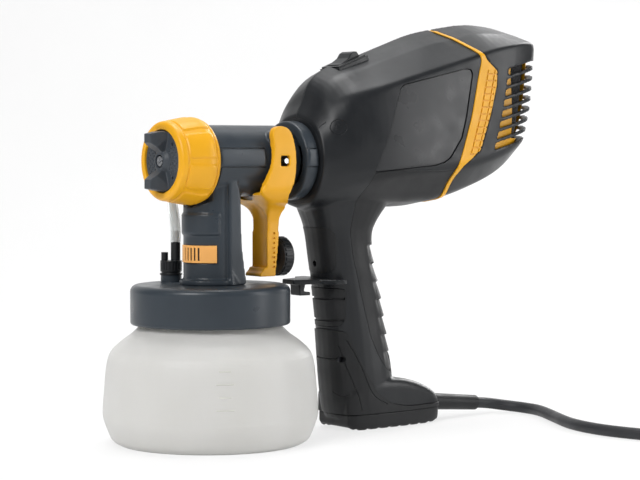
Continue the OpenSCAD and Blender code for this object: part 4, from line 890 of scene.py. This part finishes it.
# ---------- yellow band ----------
band = body_form("yellow_band", -0.7)
cheeks = twin(band, "cheeks")
cut(band, behind_band("tool", 0.1, 2.8), how="INTERSECT")
cut(cheeks, behind_band("tool", 0.1, 40), how="INTERSECT")
cut(cheeks, cheek_blocks("tool", 0), how="INTERSECT")
CHEEK_LINES = 13
CHEEK_PITCH = 4.2
CHEEK_LEAN = 0.305
CHEEK_LINE_W = 0.9
bars = []
for k in range(CHEEK_LINES):
    z = AXIS_Z + 3.5 + CHEEK_PITCH * k
    x = 166.5 + CHEEK_LEAN * (CHEEK_PITCH * k)
    bars.append(block("bar", (x, x + 9.2), (-60, 60), (z, z + CHEEK_LINE_W)))
lattice = join(*bars)
UPRIGHTS = [
    [(166.9, 3.5), (183.2, 56.9), (184.3, 56.9), (168, 3.5)],
    [(172.6, 4.1), (188.8, 56.9), (189.8, 56.9), (173.6, 4.1)],
]
for line in UPRIGHTS:
    cut(lattice, side_plate("upright", [(p[0], AXIS_Z + p[1]) for p in line], -60, 60), how="UNION")
cut(lattice, body_form("deep", -0.1, 2))
cut(cheeks, lattice)
cut(band, cheeks, how="UNION")
cut(band, inner, keep=True)
finished(band, "turbine_unit", "yellow_plastic", "accent_band")

# ---------- rear cover ----------
hood = twin(outer, "rear_hood")
cut(hood, behind_band("tool", 3.2, 200), how="INTERSECT")
cover_inner = body_form("cover_inner", 2.4, 2)
cut(hood, cover_inner, keep=True)
cut(hood, cheek_blocks("tool", 0.35))
window = join(side_plate("window", [(p[0], p[1] + AXIS_Z) for p in GRILLE], 12, 62),
              side_plate("window", [(p[0], p[1] + AXIS_Z) for p in GRILLE], -62, -12))
GRILLE_SLOTS = 8
GRILLE_PITCH = 6.3
GRILLE_SLOT_W = 3.9
slot_blocks = []
for k in range(GRILLE_SLOTS):
    z = AXIS_Z + 15.5 + GRILLE_PITCH * k
    b = block("tool", (176, 246), (-60, 60), (z - GRILLE_SLOT_W / 2, z + GRILLE_SLOT_W / 2))
    slot_blocks.append(moved(b, about((216, 0, z), -14, "Y")))
slots = join(*slot_blocks)
cut(slots, window, how="INTERSECT")
cut(hood, slots)
softened(hood, 0.76, 2)
finished(hood, "filter_lid", "black_plastic", "rear_cover")

# ---------- what the grille shows ----------
frame_y = body_form("filter_holder", 3.3, 2)
cut(frame_y, behind_band("tool", 8, 29), how="INTERSECT")
basket = body_form("basket", 3.4, 2)
cut(basket, behind_band("tool", 28, 90), how="INTERSECT")
cut(frame_y, basket, how="UNION")
hollow = body_form("hollow", 6, 2)
cut(hollow, behind_band("tool", 0, 27), how="INTERSECT")
cut(frame_y, hollow)
hollow = body_form("hollow", 5, 2)
cut(hollow, behind_band("tool", 26, 90), how="INTERSECT")
cut(frame_y, hollow)
cut(frame_y, cheek_blocks("tool", 2))
cut(frame_y, block("tool", (206, 222), (-60, 60), (AXIS_Z + 14, AXIS_Z + 66)))
finished(frame_y, "turbine_unit", "yellow_plastic", "filter_frame")
mat_foam = body_form("filter_mat", 5.3, 2)
cut(mat_foam, behind_band("tool", 28, 90), how="INTERSECT")
finished(mat_foam, "turbine_unit", "foam", "filter_foam")

# ---------- halves of the housing ----------
seat_cut = block("seat", (-12.1, 12.1), (-9.8, 9.8), (-2.1, 18))
throat = block("seat", (-10.9, 10.9), (-8.2, 8.2), (-22, 4))
cut(seat_cut, throat, how="UNION")
SWITCH_AT = Vector((100.5, 0, AXIS_Z + 59.4))
SWITCH_LEAN = -21.5
moved(seat_cut, Matrix.Translation(SWITCH_AT * MM) @ Matrix.Rotation(math.radians(SWITCH_LEAN), 4, "Y"))
cut(unit, seat_cut)
cut(unit, turned("tool", [(HOUSING_X - 2, 0), (HOUSING_X - 2, 25.9), (80, 25.9), (80, 0)]))
RELIEF_AT = Vector((160.5, 0, 12.2))
RELIEF_LEAN = 5.5
relief_hole = turned("tool", [(-1, 0), (-1, 6.3), (3.2, 6.3), (3.2, 5.7), (30, 5.7), (30, 0)], 48,
                     (0, 0, 0))
moved(relief_hole, Matrix.Translation(RELIEF_AT * MM) @ Matrix.Rotation(math.radians(RELIEF_LEAN), 4, "Y"))
cut(unit, relief_hole, keep=True)
cut(foot, relief_hole, keep=True)
cut(toe_cover, relief_hole)
# marks on the neck (a dash, and a ring with a hasp) and a short line down to the rear pad
LOCK_AT = (73, 187.3)
LOCK_R_X, LOCK_R_Z = 4.4, 4.6
for side in (1, -1):
    dash = [(63.9 + 0.98 * k, side * (-21.3 - 0.72 * k), 186.7 + 0.9 * k) for k in range(5)]
    groove(unit, on_surface(unit, dash), 0.32, 1)
    ring_line = [(LOCK_AT[0] + LOCK_R_X * math.cos(a), side * (-29.8 - 2.5 * math.cos(a)),
                  LOCK_AT[1] + LOCK_R_Z * math.sin(a)) for a in (math.radians(15 * k) for k in range(24))]
    groove(unit, on_surface(unit, ring_line), 0.3, 1)
    hasp = [(LOCK_AT[0] + dx, side * (-29.8 - 0.55 * dx), LOCK_AT[1] + dz) for dx, dz in
            ((-1.6, -1.6), (-1.6, 0.6), (0, 2.1), (1.4, 0.9), (1.6, -1.4), (-1.2, -1.7))]
    groove(unit, on_surface(unit, hasp), 0.28, 1)
    edge_line = smooth([(98.5, side * -37.5, AXIS_Z - 15), (96.6, side * -39.5, AXIS_Z - 8.5)], 4)
    groove(unit, on_surface(unit, edge_line), 0.3, 1)
half_left = unit
half_left.name = "half_left"
half_right = twin(unit, "half_right")
cut(half_left, block("tool", (50, 260), (-60, -0.08), (-5, 280)), how="INTERSECT")
cut(half_right, block("tool", (50, 260), (0.08, 60), (-5, 280)), how="INTERSECT")
finished(half_left, "turbine_unit", "black_plastic", "housing_left")
finished(half_right, "turbine_unit", "black_plastic", "housing_right")
finished(rear_pad, "turbine_unit", "soft_grip", "rear_grip")
finished(finger_pad, "turbine_unit", "soft_grip", "finger_grip")
finished(toe_cover, "turbine_unit", "soft_grip", "front_cover")
finished(foot, "turbine_unit", "soft_grip", "base_foot")
drop(outer, inner, grip_outer, grip_core, cover_inner)

# ---------- trigger ----------
FLARE = smooth([(26.6, 160), (26.4, 153), (25, 148), (20.6, 143), (14.4, 139), (10.4, 135), (8.6, 130),
                (8.2, 124)], 3)
lever = node_copy("trigger", name="trigger_lever")
for side in (-1, 1):
    outline = [(side * p[0], p[1]) for p in FLARE + [(8.2, 92), (40, 92), (40, 160)]]
    cut(lever, end_plate("tool", outline, 20, 60))
softened(lever, 0.5, 5)
smoothed_where(lever, lambda p: 124 < p.z < 153, 60)
MARK_PITCH = 2.9
cut(lever, join(*[block("mark", (39.2 + 0.8 * (k % 2), 41.6), (-9, -7.2),
                        (102.5 + MARK_PITCH * k, 103.6 + MARK_PITCH * k)) for k in range(8)]))
finished(lever, "trigger_arm", "yellow_plastic", "trigger")

# ---------- spray head ----------
head = node_copy("head_body", name="head_casting")
cut(head, turned("tool", [(46.4, 15.2), (46.4, 32), (54.05, 32), (54.05, 15.2)]))
cut(head, turned("neck_tube", [(44, 12.8), (44, 15.6), (56, 15.6), (56, 12.8)]), how="UNION")
FIN_W = 18.3
FEED_R = 4
fin = rounded([(1.4, DECK_Z), (1.4, 158.6), (5, 158.6), (8.6, 152), (9.8, 138), (10.2, 118),
               (12.6, 101), (14, DECK_Z)], 3)
cut(head, side_plate("fin", [p for p in fin if p[1] >= DECK_Z], -FIN_W, FIN_W), how="UNION")
cut(head, turned("tool", [(DECK_Z + 2, 0), (DECK_Z + 2, FEED_R), (AXIS_Z - 2, FEED_R), (AXIS_Z - 2, 0)],
                 48, (0, 0, 0), "z"))
softened(head, 0.72, 2)
# fine lines along the barrel and the collar: height, and how deep they reach in each
HEAD_LINES = ((7.5, 19.1, 22.2), (-3.5, 20.3, 23))
lines = []
for side in (-1, 1):
    for z, barrel, collar in HEAD_LINES:
        lines.append(block("line", (-8, 25.6), sorted((side * 24, side * barrel)),
                           (AXIS_Z + z - 0.35, AXIS_Z + z + 0.35)))
        lines.append(block("line", (54.4, 62), sorted((side * 30, side * collar)),
                           (AXIS_Z + z - 0.3, AXIS_Z + z + 0.3)))
    lines.append(block("line", (-6.4, -5.8), sorted((side * 24, side * 15)), (AXIS_Z - 16, AXIS_Z - 4)))
cut(head, join(*lines))
cut(head, turned("line", [(61.9, 23), (61.9, 32), (62.5, 32), (62.5, 23)]))
finished(head, "spray_head", "slate_plastic", "head_body")

# label inlay, with thin dark plates at the floors of its slots as painted shade
inlay = node_copy("column_insert", name="label_inlay")
finished(inlay, "spray_head", "orange_insert", "column_insert", angle=30)
SLOT_PITCH = 9.2
# thin dark plates in the slots: painted shade, not a colour of the insert
shade_plates = []
for k in range(5):
    b = block("slot_shade", (15.2, 16.25), (-0.56, 0.56), (DECK_Z + 14.8, DECK_Z + 22.2))
    shade_plates.append(moved(b, Matrix.Rotation(math.radians(175 + SLOT_PITCH * k), 4, "Z")))
finished(join(*shade_plates), "spray_head", "slate_plastic", finish="slot_shade")

# ---------- union nut ----------
profile = [(-34.4, 18.4)] + arc((-32, 21), 2.4, 180, 108, 5) + smooth(
    [(-31.4, 23.5), (-22.4, 25.1), (-16.4, 26), (-12.4, 25.6), (-9.1, 24.2), (-7.5, 22.4)], 4)
bore_side = [(-7.5, 19.8), (-31.8, 19.8), (-31.8, 18.4)]
nut = turned("spray_nut", profile + bore_side, 128)
field = smooth([(-30.4, 22.9), (-22.4, 24.3), (-16.4, 25.2), (-12.4, 24.8), (-10.4, 24)], 3)
ring = turned("field", field + [(-10.4, 30), (-30.4, 30)], 128)
NUT_PADS = 8
PAD_OUTLINE = rounded([(-29, -7.4), (-11.6, -7.8), (-11.6, 7.8), (-29, 7.4)], 2.2)
pads = []
for k in range(NUT_PADS):
    pad = top_plate("pad", PAD_OUTLINE, AXIS_Z + 10, AXIS_Z + 34)
    pads.append(moved(pad, about((0, 0, AXIS_Z), 360 / NUT_PADS * (k + 0.5), "X")))
cut(ring, join(*pads))
cut(nut, ring)
softened(nut, 0.45, 2)
finished(nut, "nut", "yellow_plastic", "union_nut")

# ---------- air cap ----------
cap = node_copy("air_cap", name="cap_face")
softened(cap, 0.33, 4)
DIMPLE_ROWS = 4
DIMPLE_R = 0.85
DIMPLE_X = -33.55
dimples = []
for row in range(DIMPLE_ROWS):
    r = 9.2 + 1.9 * row
    for k in range(5 + row):
        a = math.radians((k - (4 + row) / 2) * (17 - 1.6 * row))
        for side in (-1, 1):
            at = (DIMPLE_X, side * r * math.cos(a), AXIS_Z + r * math.sin(a))
            dimples.append(ball("dimple", at, DIMPLE_R, 6))
cut(cap, join(*dimples))
finished(cap, "spray_cap", "black_plastic", "air_cap", finish="cap_plastic")

# ---------- hoses and spring ----------
TUBE_ROUTE = [
    (-5.6, 29.2, 118.2), (-5.6, 29.2, 126.2), (-5.9, 30.4, 136), (-5.9, 32.6, 145), (-4.8, 34.4, 155),
    (-2, 34, 162.4), (0.3, 31, 166.3), (1, 27.5, 167), (1, 23.7, 167),
]
HOSE_R, HOSE_BORE_R = 3.1, 2.05
hose_line = smooth(TUBE_ROUTE, 6)
hose = as_mesh(tube("air_hose", hose_line, HOSE_R, 6))
bore = as_mesh(tube("bore", [(-5.6, 29.2, 117)] + hose_line + [(1, 22, 167)], HOSE_BORE_R, 6))
cut(hose, bore)
finished(hose, "spray_head", "clear_tube", "air_tube")

SPRING_R, WIRE_R = 3.6, 0.5
SPRING_X, SPRING_L = 50, 8.2
SPRING_STEPS = 96
SPRING_STEP_ANGLE = 22.5
spring_line = []
for k in range(SPRING_STEPS + 1):
    a = math.radians(SPRING_STEP_ANGLE * k)
    spring_line.append((SPRING_X + SPRING_L * k / SPRING_STEPS, SPRING_R * math.cos(a),
                        AXIS_Z + SPRING_R * math.sin(a)))
spring = as_mesh(tube("return_spring", spring_line, WIRE_R, 2))
finished(spring, "spray_head", "steel", "needle_spring")

lid_seal = turned("lid_seal", [(88.05, 36.8), (88.05, 41.2), (88.4, 41.5), (89.5, 41.5), (89.85, 41.2),
                               (89.85, 36.8), (89.5, 36.5), (88.4, 36.5)], 96, (0, 0, 0), "z")
finished(lid_seal, "spray_head", "natural_plastic", "cup_gasket")
flap = turned("valve_flap", [(97.45, 0), (97.45, 4.4), (97.7, 4.65), (98, 4.65), (98.2, 4.4), (98.1, 0)], 48,
              (-7.5, 31.3, 0), "z")
finished(flap, "spray_head", "natural_plastic", "valve_membrane")
duct_seal = turned("duct_seal", [(78.4, 15.1), (78.4, 17.1), (78.7, 17.3), (79.3, 17.3), (79.6, 17.1),
                                 (79.6, 15.1), (79.3, 14.9), (78.7, 14.9)], 96)
finished(duct_seal, "turbine_unit", "seal_rubber", "socket_seal")

# screws, hook plate and switch with moulded edges
screws = node_copy("housing_screws", name="case_screws")
for heads in ((-20, -11.7), (11.9, 20)):
    cut(screws, block("tool", (60, 170), heads, (5, 140)))
finished(screws, "turbine_unit", "steel", "housing_screws", finish="dark_screw")
hook = softened(node_copy("hook_plate", name="cup_hook"), 0.45, 4)
finished(hook, "turbine_unit", "black_plastic", "hook_plate")
rocker = softened(node_copy("power_rocker", name="switch_rocker"), 0.3, 3)
finished(rocker, "rocker", "black_plastic", "power_rocker")

# filling marks on the cup
MARKS_AT = 243.7
marks = []
for z, half in ((48.3, 3.2), (41, 4.6), (33.7, 3.2), (26.4, 4.6)):
    r = 61.4 + (48.3 - z) * 0.1
    turns = [math.radians(MARKS_AT + half * k / 4) for k in range(-4, 5)]
    row = [(r * math.cos(a), r * math.sin(a), z) for a in turns]
    marks.append(as_mesh(tube("cup_mark", on_surface(nodes["cup"], row), 0.3, 2)))
finished(join(*marks), "paint_cup", "cup_plastic", finish="natural_plastic")

# ---------- floor, backdrop and light ----------
deselect()
bpy.ops.mesh.primitive_plane_add(size=1)
floor = bpy.context.object
floor.name = "studio_floor"
bpy.ops.object.mode_set(mode="EDIT")
bpy.ops.transform.resize(value=(5, 3, 1))
bpy.ops.transform.translate(value=(0, 0.2, 0))
bpy.ops.mesh.select_all(action="DESELECT")
bm = bmesh.from_edit_mesh(floor.data)
for e in bm.edges:
    if all(v.co.y > 1.6 for v in e.verts):
        e.select_set(True)
bmesh.update_edit_mesh(floor.data)
bpy.ops.mesh.extrude_region_move(TRANSFORM_OT_translate={"value": (0, 0, 3)})
bpy.ops.object.mode_set(mode="OBJECT")
apply_modifier(floor, "BEVEL", width=0.8, segments=12, angle_limit=math.radians(30))
moved(floor, Matrix.Rotation(math.radians(-37), 4, "Z"))
smooth_shaded(floor, 60)
FLOOR_GLOW = 0.72
f = Finish("floor")
f.link(f.blend(f.ranged(f.noise(6, 2), 0, 1), linear(240, 240, 240), linear(246, 246, 246)),
       f.shader.inputs["Base Color"])
f.set(Roughness=0.7)
glow = f.node("ShaderNodeEmission")
glow.inputs["Strength"].default_value = 1.0
rays = f.node("ShaderNodeLightPath")
share = f.node("ShaderNodeMath", operation="MULTIPLY")
seen = f.node("ShaderNodeMath", operation="MAXIMUM")
seen2 = f.node("ShaderNodeMath", operation="MAXIMUM")
f.link(rays.outputs["Is Camera Ray"], seen.inputs[0])
f.link(rays.outputs["Is Glossy Ray"], seen.inputs[1])
f.link(seen.outputs[0], seen2.inputs[0])
f.link(rays.outputs["Is Transmission Ray"], seen2.inputs[1])
f.link(seen2.outputs[0], share.inputs[0])
share.inputs[1].default_value = FLOOR_GLOW
mix = f.node("ShaderNodeMixShader")
out = f.tree.nodes["Material Output"]
f.link(share.outputs[0], mix.inputs[0])
f.link(f.shader.outputs[0], mix.inputs[1])
f.link(glow.outputs[0], mix.inputs[2])
f.link(mix.outputs[0], out.inputs["Surface"])
floor.data.materials.append(f.material)

world = bpy.data.worlds.new("studio")
scene.world = world
world.use_nodes = True
background = world.node_tree.nodes["Background"]
background.inputs["Color"].default_value = (1, 1, 1, 1)
background.inputs["Strength"].default_value = 0.2
seen_sky = world.node_tree.nodes.new("ShaderNodeBackground")
sky_rays = world.node_tree.nodes.new("ShaderNodeLightPath")
sky_mix = world.node_tree.nodes.new("ShaderNodeMixShader")
world_out = world.node_tree.nodes["World Output"]
for start, end in ((sky_rays.outputs["Is Camera Ray"], sky_mix.inputs[0]),
                   (background.outputs[0], sky_mix.inputs[1]), (seen_sky.outputs[0], sky_mix.inputs[2]),
                   (sky_mix.outputs[0], world_out.inputs["Surface"])):
    world.node_tree.links.new(start, end)
seen_sky.inputs["Color"].default_value = (1, 1, 1, 1)


def lamp(name, at, size, power, aim=(0.1, 0, 0.15)):
    """A soft rectangular lamp turned to the sprayer."""
    data = bpy.data.lights.new(name, "AREA")
    data.shape = "RECTANGLE"
    data.size, data.size_y = size
    data.energy = power
    o = bpy.data.objects.new(name, data)
    scene.collection.objects.link(o)
    o.location = at
    o.rotation_euler = (Vector(aim) - Vector(at)).to_track_quat("-Z", "Y").to_euler()


lamp("key", (-1.35, -0.6, 1.2), (0.9, 0.9), 22)
lamp("side", (1.15, -1.15, 0.55), (0.45, 1.2), 10)
lamp("back", (1.35, 0.5, 0.8), (0.5, 1.2), 12)
lamp("top", (0.15, 0.3, 1.6), (0.8, 0.8), 14)
